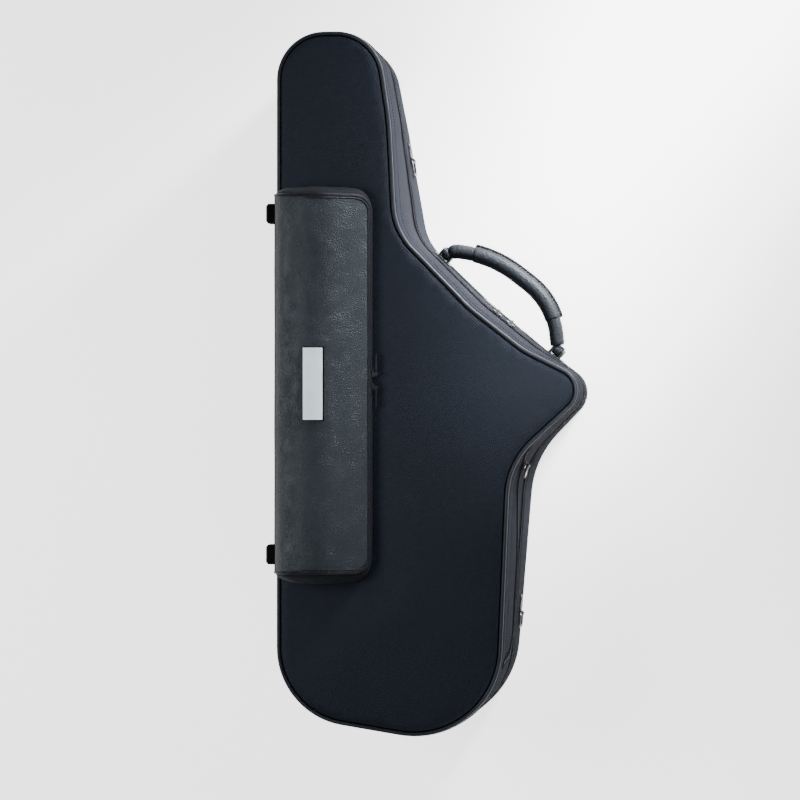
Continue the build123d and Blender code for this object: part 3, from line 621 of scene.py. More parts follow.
# Each light has its place, its aim, its size, its power and its spread in degrees.
LIGHTS = {
    "right_soft": ((0.7, 0.95, 0.28), (0.08, 0.2, -0.01), 0.4, 9.5, 35.0),
    "bell_soft": ((0.22, 0.03, 0.9), (0.16, 0.03, 0.2), 0.15, 0.28, 32.0),
    "low_soft": ((0.45, -1.1, 0.35), (0.13, -0.02, 0.1), 0.3, 1.0, 60.0),
    "left_soft": ((-1.45, 0.0, 1.8), (-0.12, -0.05, 0.2), 1.0, 36.0, 180.0),
}
FLOOR_HALF, FLOOR_LOW = 4.0, -0.0006


def make_stage():
    mesh = bpy.data.meshes.new("floor")
    corners = [(x * FLOOR_HALF, y * FLOOR_HALF, FLOOR_LOW) for x, y in ((-1, -1), (1, -1), (1, 1), (-1, 1))]
    mesh.from_pydata(corners, [], [(0, 1, 2, 3)])
    floor = add_object("floor", mesh)
    look = Surface("pale_floor")
    cloud = look.ramp(look.noise(1.5, 2.0), 0.3, 0.7, (0.93, 0.93, 0.93), (0.95, 0.95, 0.95))
    mesh.materials.append(look.finish(
        Base_Color=cloud, Roughness=0.9, Specular_IOR_Level=0.1, Emission_Color=(1, 1, 1, 1),
        Emission_Strength=2.0,
    ))
    world = bpy.data.worlds.new("soft_world")
    world.use_nodes = True
    background = world.node_tree.nodes["Background"]
    background.inputs["Color"].default_value = (1, 1, 1, 1)
    background.inputs["Strength"].default_value = 0.32
    scene.world = world
    for name, (place, aim, size, power, spread) in LIGHTS.items():
        data = bpy.data.lights.new(name, "AREA")
        data.shape = "SQUARE"
        data.size = size
        data.spread = radians(spread)
        data.energy = power
        light = add_object(name, data)
        light.location = place
        light.rotation_euler = (Vector(aim) - Vector(place)).to_track_quat("-Z", "Y").to_euler()


make_camera()
make_stage()

# Skins on the walls. Each band's profile is (height, outward) round its section.
BANDS = (
    ("back_band", "band_leatherette", "base", 0.35, 3.0, (
        (5.1, -1.15), (5.1, -0.3), (6.0, 0.05), (10.0, 0.25), (20.0, 0.5), (35.0, 0.6),
        (50.0, 0.5), (60.0, 0.3), (64.6, 0.35), (66.3, 0.5), (67.4, 0.15), (67.4, -0.34),
        (62.0, -1.15), (30.0, -1.15),
    )),
    ("lid_band", "band_leatherette", "lid", 0.35, 9.0, (
        (92.6, -0.34), (92.6, 0.15), (93.7, 0.5), (95.4, 0.35), (105.0, 0.4), (125.0, 0.6),
        (145.0, 0.5), (165.0, 0.3), (171.5, 0.1), (171.5, -1.15), (130.0, -1.15), (98.0, -1.15),
    )),
    ("lid_binding", "binding_leatherette", "lid", 0.2, 15.0, (
        (169.4, 0.2), (169.4, 0.9), (170.3, 1.2), (172.0, 1.0), (180.0, 0.8), (192.0, 0.8),
        (197.5, 0.5), (199.9, -0.3), (199.9, -1.15), (190.0, -1.15), (174.0, -1.15),
        (172.2, -0.1),
    )),
)
PIPING_RADIUS = 2.4


def wall_skins():
    for name, material, body, waviness, seed, profile in BANDS:
        wall_band(name + "_skin", profile, material, body, name, waviness, seed)
    for name, height, outward, body in (
        ("back_band", 63.2, 0.45, "base"), ("lid_band", 97.2, 0.45, "lid"), ("binding", 173.4, 1.0, "lid"),
    ):
        places = ring_frames(height, outward, STITCH_PITCH, 8)
        stitch_row(name + "_stitches", places, 2.7, "binding_leatherette", body)
    for side, height, body in (("back", PIPING_RADIUS, "base"), ("front", DEPTH - PIPING_RADIUS, "lid")):
        profile = [(height + b, a - PIPING_RADIUS) for a, b in ellipse(PIPING_RADIUS, PIPING_RADIUS, 12)]
        wall_band(side + "_piping_cord", profile, "piping_leatherette", body, side + "_piping")
    outer, wave, inner, ribs = -0.45, 0.05, -1.18, 5
    for body, low, high in (("base", 65.0, 76.8), ("lid", 83.2, 94.8)):
        profile = [(z, outer + wave * (k % 2)) for k, z in enumerate(evenly(low, high, ribs))]
        profile += [(high, inner), (low, inner)]
        wall_band(body + "_tape", profile, "zipper_tape", body, body + "_zipper_tape")


def zipper_rows():
    tooth_pitch, inward, taper = 1.45, -1.0, 0.72
    places = ring_frames(SEAM, inward, tooth_pitch, 2)
    for parity, body, low, high in ((0, "base", 76.6, 80.9), (1, "lid", 79.1, 83.4)):
        middle = (low + high) / 2
        blocks = [
            (Vector((point.x, point.y, middle)), along, out, UP) for point, along, out in places[parity::2]
        ]
        sizes = (1.3, 1.9, high - low)
        tooth_row(body + "_teeth", blocks, sizes, taper, body, body + "_zipper_teeth")


def hinge_cloth():
    heights = [54.2, 55.5, 60.0, 66.0, 71.0] + [74.0 + k for k in range(13)]
    heights += [89.0, 94.0, 100.0, 104.5, 105.8]
    inner, outer, edge, steps, end_share = 0.12, 1.45, 0.5, 60, 0.35
    blend_low, blend_high, stitches, stitch_lift = 75.5, 84.5, 118, 1.5
    last = len(heights) - 1
    loop = [(SPINE - (edge if k in (0, last) else outer), z) for k, z in enumerate(heights)]
    loop += [(SPINE - inner, z) for z in reversed(heights)]
    verts = []
    for y in evenly(-HINGE_HALF, HINGE_HALF, steps):
        end = 1.0 - smooth_step(abs(y), HINGE_HALF - 3, HINGE_HALF)
        for x, z in loop:
            depth = (SPINE - inner - x) * (end_share + (1 - end_share) * end)
            verts.append(Vector((SPINE - inner - depth, y, z)))
    hinge = add_mesh("spine_hinge_cloth", verts, tube_faces(steps + 1, len(loop)))
    hinge.data.materials.append(MATERIALS["band_leatherette"])
    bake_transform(hinge)
    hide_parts("hinge_leaf_base", "hinge_leaf_lid")
    ys = [-HINGE_HALF + 4 + k * STITCH_PITCH for k in range(stitches)]
    along, out = Vector((0, 1, 0)), Vector((-1, 0, 0))
    for name, z, body in (("low", 57.5, "base"), ("high", 102.5, "lid")):
        places = [(Vector((SPINE - stitch_lift, y, z)), along, out) for y in ys]
        stitch_row("hinge_stitches_" + name, places, 2.7, "binding_leatherette", body)


# Front and back cloth. The edge rows are (inset, height), from the edge inward.
POCKET_LEFT = SPINE + 3.0
POCKET_WIDTH = 113.0
POCKET_RIGHT = POCKET_LEFT + POCKET_WIDTH
POCKET_HALF = 223.5
FRONT_ROWS, FRONT_UNDER = ((4.75, 203.9), (6.1, 204.0), (7.5, 205.0)), 203.85
BACK_ROWS, BACK_TOP = ((4.9, 1.15), (5.3, 0.25), (6.6, 0.0)), 1.15
CROWN, CROWN_REACH, CROWN_BASE = 3.2, 40.0, 2.718
RIPPLE, RIPPLE_RATE = 0.25, 0.02
UNSEEN_SPACING = 40.0


def front_cloth():
    edge, inner_edge = ring(FRONT_ROWS[0][0], DEPTH), ring(FRONT_ROWS[-1][0], DEPTH)
    boundary = [p.to_2d() for p in inner_edge]
    count, beside = len(edge), POCKET_HALF + 8

    def crown(point):
        """The padding's height at a place: none at the edge and beside the pocket."""
        nearest = min((point - b).length for b in boundary)
        dx, dy = max(point.x - POCKET_RIGHT, 0.0), max(abs(point.y) - beside, 0.0)
        away = smooth_step(sqrt(dx * dx + dy * dy), 4.0, 60.0)
        if point.x < POCKET_RIGHT and abs(point.y) < beside:
            away = 0.0
        ripple = RIPPLE * noise.noise(Vector((point.x * RIPPLE_RATE, point.y * RIPPLE_RATE, 4.0)))
        return DEPTH + (CROWN * (1 - CROWN_BASE ** (-nearest / CROWN_REACH)) + ripple) * away

    verts = [p for inset, z in FRONT_ROWS for p in at_height(ring(inset, DEPTH), z)]
    faces = loop_faces(3, count)
    faces += fill_cap(verts, inner_edge, 9.0, 2 * count, crown)
    start = len(verts)
    verts += at_height(edge, FRONT_UNDER)
    faces += [(i, (i + 1) % count, start + (i + 1) % count, start + i) for i in range(count)]
    faces += fill_cap(verts, edge, UNSEEN_SPACING, start, lambda p: FRONT_UNDER)
    front = piece("front_cloth", verts, faces, "woven_cloth", "lid", "lid_panel")
    front.data.materials.append(MATERIALS["seam_shadow"])
    for polygon in front.data.polygons:
        if {i // count for i in polygon.vertices} == {0, 1}:
            polygon.material_index = 1


def back_cloth():
    edge, flat = ring(BACK_ROWS[0][0], 0.0), ring(BACK_ROWS[-1][0], 0.0)
    verts = [p for inset, z in BACK_ROWS for p in at_height(ring(inset, 0.0), z)]
    faces = loop_faces(3, len(edge))
    faces += fill_cap(verts, flat, 30.0, 2 * len(edge), lambda p: 0.0)
    faces += fill_cap(verts, edge, UNSEEN_SPACING, 0, lambda p: BACK_TOP)
    piece("back_cloth", verts, faces, "woven_cloth", "base", "back_panel")


# Accessory pocket. Places are (across, up) in the cover's section.
POCKET_HEIGHT = 50.0
POCKET_SHARES = ((0.0, 0.03), (0.0, 0.91), (0.49, 1.03), (1.0, 0.19))
LEFT_ROUNDING, RIDGE_ROUNDING = 26.0, 58.0
COVER_RUN = fillet_line(
    [(a * POCKET_WIDTH, h * POCKET_HEIGHT) for a, h in POCKET_SHARES],
    (LEFT_ROUNDING, RIDGE_ROUNDING), radians(5),
)
COVER_HALF = 1.1
ABOVE_LEFT_WALL = 30.0
POCKET_CORNER = 19.0
WELD = 0.02
CORNER_START = POCKET_WIDTH - POCKET_CORNER
CORNER_HALF = POCKET_HALF - POCKET_CORNER
CORNER_XS = [CORNER_START + POCKET_CORNER * sin(turn) for turn in evenly(0.0, pi / 2, 12)]
PLAN_START = POCKET_HALF - 34.0
HINGE_ROLL_X, HINGE_ROLL_Z, HINGE_ROLL_RADIUS = -179.1, 206.4, 1.7
# Each row of the hem is (inset from the free edge, height over the cover's middle line).
HEM_ROWS = (
    (0.15, 0.7), (0.1, 1.3), (0.5, 1.75), (1.0, 1.75), (1.5, 1.45), (3.1, 1.4), (3.5, 1.7),
    (3.9, 1.75), (4.25, 1.2), (4.35, 0.7),
)


def on_front(x, y, z):
    """A place from the pocket's left edge and the case's front face."""
    return Vector((POCKET_LEFT + x, y, DEPTH + z))


def plan_half(x):
    """Half the pocket's length at a place across it: its right corners are rounded."""
    over = min(max(x - CORNER_START, 0.0), POCKET_CORNER)
    return CORNER_HALF + sqrt(POCKET_CORNER ** 2 - over * over)


def plan_y(x, y):
    """A place along the pocket, drawn in where its corner is rounded."""
    if abs(y) <= PLAN_START:
        return y
    share = (abs(y) - PLAN_START) / (POCKET_HALF - PLAN_START)
    return (PLAN_START + share * (plan_half(x) - PLAN_START)) * (1 if y > 0 else -1)


def cover_at(x):
    """The cover's middle line and its normal at a place across it, right of its left wall."""
    for a, b in zip(COVER_RUN, COVER_RUN[1:]):
        if b.x > a.x and a.x <= x <= b.x and a.y > ABOVE_LEFT_WALL or b is COVER_RUN[-1]:
            return a + (b - a) * ((x - a.x) / (b.x - a.x)), left_of((b - a).normalized())


COVER_SECTION = [
    (p, left_of(along)) for p, along in even_points(COVER_RUN, 4.0) if p.x < CORNER_START - 1.5
]
COVER_SECTION += [cover_at(x) for x in CORNER_XS]


def rim_curve(inset):
    """The cover's free edge seen from the front, a distance inside it, from end to end."""
    run, bends, sides, radius = 19, 14, 96, POCKET_CORNER - inset
    half = [(x, POCKET_HALF - inset) for x in evenly(LEFT_ROUNDING, CORNER_START, run)[:-1]]
    for angle in evenly(pi / 2, 0.0, bends):
        half.append((CORNER_START + radius * cos(angle), CORNER_HALF + radius * sin(angle)))
    side = [(POCKET_WIDTH - inset, y) for y in evenly(CORNER_HALF, -CORNER_HALF, sides)[1:-1]]
    return half + side + [(x, -y) for x, y in reversed(half)]


def cover_point(x, y, lift):
    point, normal = cover_at(x)
    spot = point + normal * lift
    return on_front(spot.x, y, spot.y)


def pocket_cover():
    steps, ease, foot, sag_most, dent_most = 110, 40.0, 1.5, -1.6, 0.1
    plate_half, plate_left, plate_right, plate_dent = 52.0, 28.0, 70.0, -0.15
    ys = evenly(-POCKET_HALF, POCKET_HALF, steps)
    verts = []
    for y in ys:
        end = min(POCKET_HALF - abs(y), ease) / ease
        row = []
        for point, normal in COVER_SECTION:
            top = sin(pi * min(min(point.x / POCKET_WIDTH, 1.0) * 1.25, 1.0))
            place = Vector((point.x * 0.02, y * 0.011, 2.0))
            dent = 0.9 * (noise.noise(place) - 0.35) + 0.5 * (noise.noise(place * 2.7) - 0.4)
            sag = sag_most * top * end * (1 - 0.35 * end)
            # The leather lies flat under the name plate.
            if abs(y) < plate_half and plate_left < point.x < plate_right:
                dent, sag = plate_dent, 0.0
            lift = COVER_HALF + min(dent * (0.3 + 0.7 * top), dent_most) + sag * 0.4
            row.append((point + normal * lift, point.x))
        row += [(point - normal * COVER_HALF, point.x) for point, normal in reversed(COVER_SECTION)]
        verts += [on_front(p.x, plan_y(x, y), max(p.y, foot)) for p, x in row]
    count = len(COVER_SECTION)
    columns = 2 * count
    faces = loop_faces(len(ys), columns)
    for low in (0, (len(ys) - 1) * columns):
        for k in range(count - 1):
            faces.append((low + k, low + k + 1, low + columns - 2 - k, low + columns - 1 - k))
    piece(
        "pocket_cover_skin", verts, faces, "cover_leatherette", "pocket_cover", "pocket_cover",
        "band_leatherette",
    )


def pocket_hem():
    curves = [rim_curve(inset) for inset, _ in HEM_ROWS]
    last, low, ease = len(curves[0]) - 1, 0.2, 8
    verts = []
    for k, places in enumerate(zip(*curves)):
        blend = smooth_step(k, 0, ease) * smooth_step(last - k, 0, ease)
        for (x, y), (_, lift) in zip(places, HEM_ROWS):
            verts.append(cover_point(x, y, low + (lift - low) * blend))
    faces = tube_faces(len(curves[0]), len(HEM_ROWS))
    piece("pocket_hem", verts, faces, "rim_leatherette", "pocket_cover", slot="band_leatherette")
    stitch_inset, stitch_lift = 2.3, 1.42
    stitch_line = [cover_point(x, y, stitch_lift) for x, y in rim_curve(stitch_inset)]
    places = []
    for spot, along in even_points(stitch_line, STITCH_PITCH)[1:-1]:
        _, normal = cover_at(min(max(spot.x - POCKET_LEFT, LEFT_ROUNDING), POCKET_WIDTH))
        places.append((spot, along, Vector((normal.x, 0, normal.y))))
    stitch_row("pocket_hem_stitches", places, 2.6, "thread_grey", "pocket_cover")


def plate_backing():
    low, high = box_of("name_plate")
    rows, columns, margin, outer, inner = 31, 13, 1.1, 1.3, 0.7
    xs = evenly(low[0] - POCKET_LEFT - margin, high[0] - POCKET_LEFT + margin, columns - 1)
    ys = evenly(-high[1] - 1.0, high[1] + 1.0, rows - 1)
    verts = [cover_point(x, y, lift) for lift in (outer, inner) for y in ys for x in xs]
    piece("plate_backing", verts, slab_faces(rows, columns), "seam_shadow", "pocket_cover")


def pocket_ends():
    foot, lowest, centre, rings = 1.7, 1.6, Vector((54.0, 14.0)), 14
    run = [point for point, _ in COVER_SECTION]
    last, corner = run[-1], Vector((POCKET_WIDTH, foot))
    run += [last + (corner - last) * (k / 3) for k in (1, 2, 3)]
    run += [Vector((x, foot)) for x in reversed(CORNER_XS[:-1])]
    run += [Vector((x, foot)) for x in evenly(CORNER_START, 0.0, 16)[1:-1]]
    for name, side, bulge in (("upper", 1, 11.0), ("lower", -1, 14.5)):
        verts = []
        for share in evenly(0.0, 1.0, rings):
            turn, middle = share * pi / 2, sin(share * pi)
            scale = cos(turn) ** 0.75 if share < 1 else 0.0
            for point in run:
                flat = centre + (point - centre) * (0.99 * scale)
                fold = noise.noise(Vector((flat.x * 0.05, flat.y * 0.09, side * 5.0)))
                crease = sin(flat.y * 0.42 + flat.x * 0.05) * middle * smooth_step(flat.y, 2.0, 16.0)
                depth = bulge * sin(turn) ** 0.8 + (1.3 * fold * middle - abs(crease) * 0.6)
                y = side * (plan_half(flat.x) - 0.6 + min(depth, bulge - 0.1))
                verts.append(on_front(flat.x, y, max(flat.y, lowest)))
        faces = loop_faces(rings + 1, len(run)) + [tuple(range(len(run)))]
        replaced = "pocket_gusset_" + name
        end = piece("pocket_end_" + name, verts, faces, "gusset_cloth", "pocket_cover", replaced)
        edit_mesh(end, lambda bm: bmesh.ops.remove_doubles(bm, verts=bm.verts, dist=WELD * MM))


def pocket_cord():
    """The cord round the cover's free edge, from one end over the other."""
    lift, first, lowest, steps = 0.5, 8.0, 208.0, 60
    cord = []
    for point, normal in [row for row in COVER_SECTION if row[0].y > first][:-1]:
        spot = point + normal * lift
        cord.append((on_front(spot.x, plan_half(point.x) + 0.3, spot.y), normal))
    ends = len(cord)
    point, normal = COVER_SECTION[-1]
    edge = point + normal * lift
    cord += [(on_front(edge.x, y, edge.y), normal) for y in evenly(CORNER_HALF, -CORNER_HALF, steps)]
    cord += [(Vector((p.x, -p.y, p.z)), n) for p, n in reversed(cord[:ends])]
    frames = []
    for k, (spot, normal) in enumerate(cord):
        before, after = cord[max(k - 1, 0)][0], cord[min(k + 1, len(cord) - 1)][0]
        rise = Vector((normal.x, 0, normal.y))
        across = (after - before).normalized().cross(rise).normalized()
        frames.append((Vector((spot.x, spot.y, max(spot.z, lowest))), rise, across, 1.0))
    piece("pocket_rim_cord", *sweep(frames, circle_section(1.25, 8)), "rim_leatherette", "pocket_cover")


def pocket_floor():
    low, high = box_of("pocket_floor")
    across = evenly(0.0, CORNER_START, 10)[:-1] + CORNER_XS
    verts, rows = [], 60
    for top, sink in ((high[2], 0.25), (low[2] + 0.05, 0.0)):
        for along in evenly(low[1], high[1], rows):
            for x in across:
                y = plan_y(x, along)
                inside = min(x, POCKET_WIDTH - x, plan_half(x) - abs(y))
                verts.append(Vector((low[0] + x, y, top - sink * smooth_step(inside, 0, 10))))
    faces = slab_faces(rows + 1, len(across))
    piece("pocket_floor_cloth", verts, faces, "gusset_cloth", "lid", "pocket_floor", "zipper_tape")


def hinge_roll():
    """A soft roll under the cover's hinge, which closes the slit when the cover lifts."""
    roll, steps = [], 60
    for along in evenly(-1.0, 1.0, steps):
        spot = Vector((HINGE_ROLL_X, along * (POCKET_HALF - 0.5), HINGE_ROLL_Z))
        size = 1 - 0.35 * abs(along) ** 60 + 0.05 * noise.noise(spot * 0.05)
        roll.append((spot, Vector((1, 0, 0)), UP, size))
    swept = sweep(roll, circle_section(HINGE_ROLL_RADIUS, 14))
    piece("pocket_hinge_roll", *swept, "gusset_cloth", "lid", slot="gusset_cloth")


def pocket_zipper():
    bend = [
        Vector((POCKET_RIGHT - POCKET_CORNER * (1 - cos(t)), CORNER_HALF + POCKET_CORNER * sin(t)))
        for t in evenly(0.0, radians(60), 10)
    ]
    zip_line = [Vector((p.x, -p.y)) for p in reversed(bend)] + bend
    section = [(-0.7, 206.1), (-0.5, 208.0), (-0.6, 209.9), (0.6, 209.9), (0.5, 208.0), (0.7, 206.1)]
    tape_pitch, tooth_pitch, taper = 3.0, 1.3, 0.7
    placed = even_points(zip_line, tape_pitch)
    verts = [
        Vector((point.x + along.y * x, point.y - along.x * x, z))
        for point, along in placed for x, z in section
    ]
    faces = tube_faces(len(placed), len(section))
    piece("pocket_tape", verts, faces, "zipper_tape", "lid", "pocket_lower_tape")
    teeth = even_points(zip_line, tooth_pitch)
    for parity, name, low, high, body in (
        (0, "pocket_lower", 209.9, 212.2, "lid"), (1, "pocket_upper", 211.0, 213.3, "pocket_cover"),
    ):
        blocks = [
            (Vector((*point, (low + high) / 2)), along.to_3d() * side, left_of(along).to_3d() * -side, UP)
            for point, along in teeth[parity::2] for side in (-1, 1)
        ]
        tooth_row(name + "_row", blocks, (1.15, 1.3, high - low), taper, body, name + "_teeth")


# Document pocket zipper, on the right wall. Places on it are (length, height).
DOCUMENT_SHARES = (
    (0.406, 0.927), (0.381, 0.732), (0.355, 0.675), (0.237, 0.495),
    (0.139, 0.488), (0.111, 0.634), (0.104, 0.895),
)
# The tape's section is (sideways, outward).
DOCUMENT_TAPE = ((-6.5, 0.45), (-6.2, 1.1), (-3.2, 0.95), (3.2, 0.95), (6.2, 1.1), (6.5, 0.45))


def wall_point(place, outward):
    return Vector((crossings(wall_ring(place.y, outward), place.x)[-1], place.x, place.y))


def wall_frame(place, d, outward):
    """A place on the right wall with its directions along a run, across it and outward."""
    spot = wall_point(place, outward)
    along = (wall_point(place + d, outward) - spot).normalized()
    across = (wall_point(place + left_of(d), outward) - spot).normalized()
    out = along.cross(across).normalized()
    return spot, along, -out if out.x < 0 else out, across


def document_zipper():
    points = [(a * LENGTH - LENGTH / 2, z * DEPTH) for a, z in DOCUMENT_SHARES]
    rounding, tape_pitch, tooth_pitch, tooth_half, stitch_out = 14.0, 4.0, 1.3, 0.55, 5.0
    line = fillet_line(points, [rounding] * len(points))
    run = even_points(line, tape_pitch)
    verts = []
    for p, d in run:
        normal = left_of(d)
        verts += [wall_point(p + normal * step, lift) for step, lift in DOCUMENT_TAPE]
        verts += [wall_point(p + normal * (step * 0.98), -0.3) for step, _ in reversed(DOCUMENT_TAPE)]
    faces = tube_faces(len(run), 2 * len(DOCUMENT_TAPE))
    piece("document_tape", verts, faces, "zipper_tape", "lid", "document_zip_tape")
    blocks = [
        wall_frame(p + left_of(d) * (tooth_half if k % 2 else -tooth_half), d, 0.9)
        for k, (p, d) in enumerate(even_points(line, tooth_pitch))
    ]
    tooth_row("document_teeth", blocks, (1.1, 0.95, 3.1), 0.75, "lid", "document_zip_teeth")
    for name, shift in (("in", stitch_out), ("out", -stitch_out)):
        places = [
            wall_frame(p + left_of(d) * shift, d, 1.1)[:3] for p, d in even_points(line, STITCH_PITCH)
        ]
        stitch_row("document_stitches_" + name, places, 2.6, "binding_leatherette", "lid")


# Handle. Its run is (along the pins' line, outward), from the upper pin.
UPPER_PIN = Vector((1.762, 160.072, 40.103))
PIN_LINE = Vector((0.755259, -0.655427, 0.0))
HANDLE_OUT = Vector((0.655427, 0.755259, 0.0))
PIN_SPAN, HANDLE_RISE = 180.822, 36.0
HANDLE_SHARES = ((0.0, 0.0), (0.028, 0.264), (0.25, 0.958), (0.762, 1.1), (1.0, 0.0))
HANDLE_RUN = fillet_line(
    [(a * PIN_SPAN, b * HANDLE_RISE) for a, b in HANDLE_SHARES],
    (0.11 * PIN_SPAN, 0.8 * PIN_SPAN, 0.5 * PIN_SPAN), radians(2),
)
TUBE_RADIUS, TUBE_RIDGES, RIDGE_HALF = 8.8, (5.0, 9.5, 14.0), 1.6
KNUCKLE_RADIUS, KNUCKLE_HALF = 7.2, 4.95
NECK_FOOT, NECK_LENGTH, NECK_LEAN = 1.0, 5.4, 1.1
SLEEVE_START, SLEEVE_END = 0.165, 0.815
SLEEVE_RADIUS, SLEEVE_FLAP = 9.75, 13.0


def handle_frames(low, high, pitch):
    """Frames along the handle's run between two travelled distances."""
    frames, travelled, previous = [], 0.0, HANDLE_RUN[0]
    for point, along in even_points(HANDLE_RUN, pitch):
        travelled += (point - previous).length
        previous = point
        if low <= travelled <= high:
            centre = UPPER_PIN + PIN_LINE * point.x + HANDLE_OUT * point.y
            side = PIN_LINE * (-along.y) + HANDLE_OUT * along.x
            frames.append((centre, side, UP, travelled, along))
    return frames


def thickened(frames, ease, ridges, waviness, rate, shift):
    """The frames with their sizes: smaller at the ends, with ridges and slight waves."""
    first, last = frames[0][3], frames[-1][3]
    path = []
    for centre, side, up, travelled, _ in frames:
        ends = min(travelled - first, last - travelled)
        size = 0.9 + 0.1 * sqrt(min(1.0, ends / ease))
        for ridge in ridges:
            size += 0.05 * max(0.0, 1 - abs(ends - ridge) / RIDGE_HALF)
        size += waviness * noise.noise(centre * rate + Vector((shift, 0, 0)))
        path.append((centre, side, up, size))
    return path


def knuckle(name, pin, neck_side):
    """A rounded end over the handle's eye, with an oval neck towards the tube."""
    middle = UPPER_PIN + PIN_LINE * pin
    path = []
    for share in evenly(-1.0, 1.0, 12):
        size = 1 - 0.09 * abs(share) ** 6
        path.append((middle + PIN_LINE * (KNUCKLE_HALF * share), HANDLE_OUT, UP, size))
    verts, faces = sweep(path, circle_section(KNUCKLE_RADIUS, 28))
    neck = []
    for share in evenly(0.0, 1.0, 6):
        lean = PIN_LINE * (neck_side * NECK_LEAN * share ** 2)
        rise = HANDLE_OUT * (NECK_FOOT + NECK_LENGTH * share)
        neck.append((middle + rise + lean, PIN_LINE, UP, 1.0))
    neck_verts, neck_faces = sweep(
        neck, lambda share: ellipse(4.9 + 3.1 * share ** 4, 6.6, 24), start=len(verts)
    )
    piece("handle_knuckle_" + name, verts + neck_verts, faces + neck_faces, "handle_leather", "handle")


def sleeve_section(share):
    """An open ring round the tube that ends in a flap of two layers."""
    count, gap, half, edge = 30, 1.25 / 9.8, 1.2, SLEEVE_FLAP
    turns = evenly(gap, 2 * pi - gap, count - 1)
    points = [(SLEEVE_RADIUS * cos(turn), SLEEVE_RADIUS * sin(turn)) for turn in turns]
    flap = [(11.0, -half), (edge - 0.5, -half), (edge, -0.9)]
    return points + flap + [(x, -y) for x, y in reversed(flap)]


def handle():
    total = sum((b - a).length for a, b in zip(HANDLE_RUN, HANDLE_RUN[1:]))
    pitch, clear = 1.6, 4.2
    frames = [f for f in handle_frames(0, total, pitch) if (f[0] - UPPER_PIN).dot(HANDLE_OUT) > clear]
    path = thickened(frames, 3.0, TUBE_RIDGES, 0.012, 0.06, 0)
    swept = sweep(path, circle_section(TUBE_RADIUS, 24))
    piece("handle_tube", *swept, "handle_leather", "handle", "handle_core")
    knuckle("upper", 0.0, 1)
    knuckle("lower", PIN_SPAN, -1)
    start, end = SLEEVE_START * total, SLEEVE_END * total
    path = thickened(handle_frames(start, end, pitch), 2.0, (), 0.008, 0.08, 7)
    swept = sweep(path, sleeve_section)
    piece("handle_wrap", *swept, "handle_leather", "handle", "handle_sleeve")
    for name, face in (("front", 1), ("back", -1)):
        places = [
            (centre + side * 11.7 + up * (1.2 * face), PIN_LINE * along.x + HANDLE_OUT * along.y, up * face)
            for centre, side, up, _, along in handle_frames(start + 2, end - 2, 4.2)
        ]
        stitch_row("sleeve_stitches_" + name, places, 3.0, "thread_grey", "handle", 0.8)


# Strap fittings. The tab's section is (backward, outward) round the ring's wire.
TAB_SECTION = [(22.0, -3.1), (22.3, -2.4), (22.0, -1.4), (19.0, -1.25), (8.0, -1.2), (3.2, -0.4)]
TAB_SECTION += [(3.15 * cos(turn), 3.15 * sin(turn)) for turn in evenly(radians(50), radians(300), 9)]
TAB_SECTION += [(4.0, -3.2), (12.0, -3.2)]
TAB_WIDTH, TAB_TUCK, TAB_FACE = 12.4, 0.35, 1.2
TAB_STITCH_START, TAB_STITCH_PITCH, TAB_STITCH_SIDE = 7.5, 3.6, 4.9
TAB_STEPS, BORE_RADIUS, BORE_SIDES, WIRE_RADIUS = 8, 1.82, 18, 1.2
RING_HALF, RING_DROP, RING_CORNER = 11.3, 17.0, 4.8
RING_RUN = fillet_line([
    (0.0, 0.0), (0.0, RING_HALF), (RING_DROP, RING_HALF), (RING_DROP, -RING_HALF),
    (0.0, -RING_HALF), (0.0, -0.01),
], [RING_CORNER] * 4, radians(12))


# Each strap has its pin's centre and the pin's direction.
STRAPS = {
    "neck": (Vector((-41.316, 275.082, 37.942)), Vector((0.016859142, 0.002727949, 0.999854153))),
    "lower": (Vector((93.174, -279.766, 37.954)), Vector((0.013583726, -0.00102794, 0.999907209))),
}


def close_tab(bm):
    """Fills each end of the tab between its outline and its bore."""
    count = len(TAB_SECTION)
    start = (TAB_STEPS + 1) * count
    for row in (0, TAB_STEPS):
        edges = []
        for first, sides in ((row * count, count), (start + row * BORE_SIDES, BORE_SIDES)):
            corners = [bm.verts[first + i] for i in range(sides)]
            edges += [bm.edges.get((corners[i - 1], corners[i])) for i in range(sides)]
        bmesh.ops.triangle_fill(bm, edges=edges, use_beauty=True)


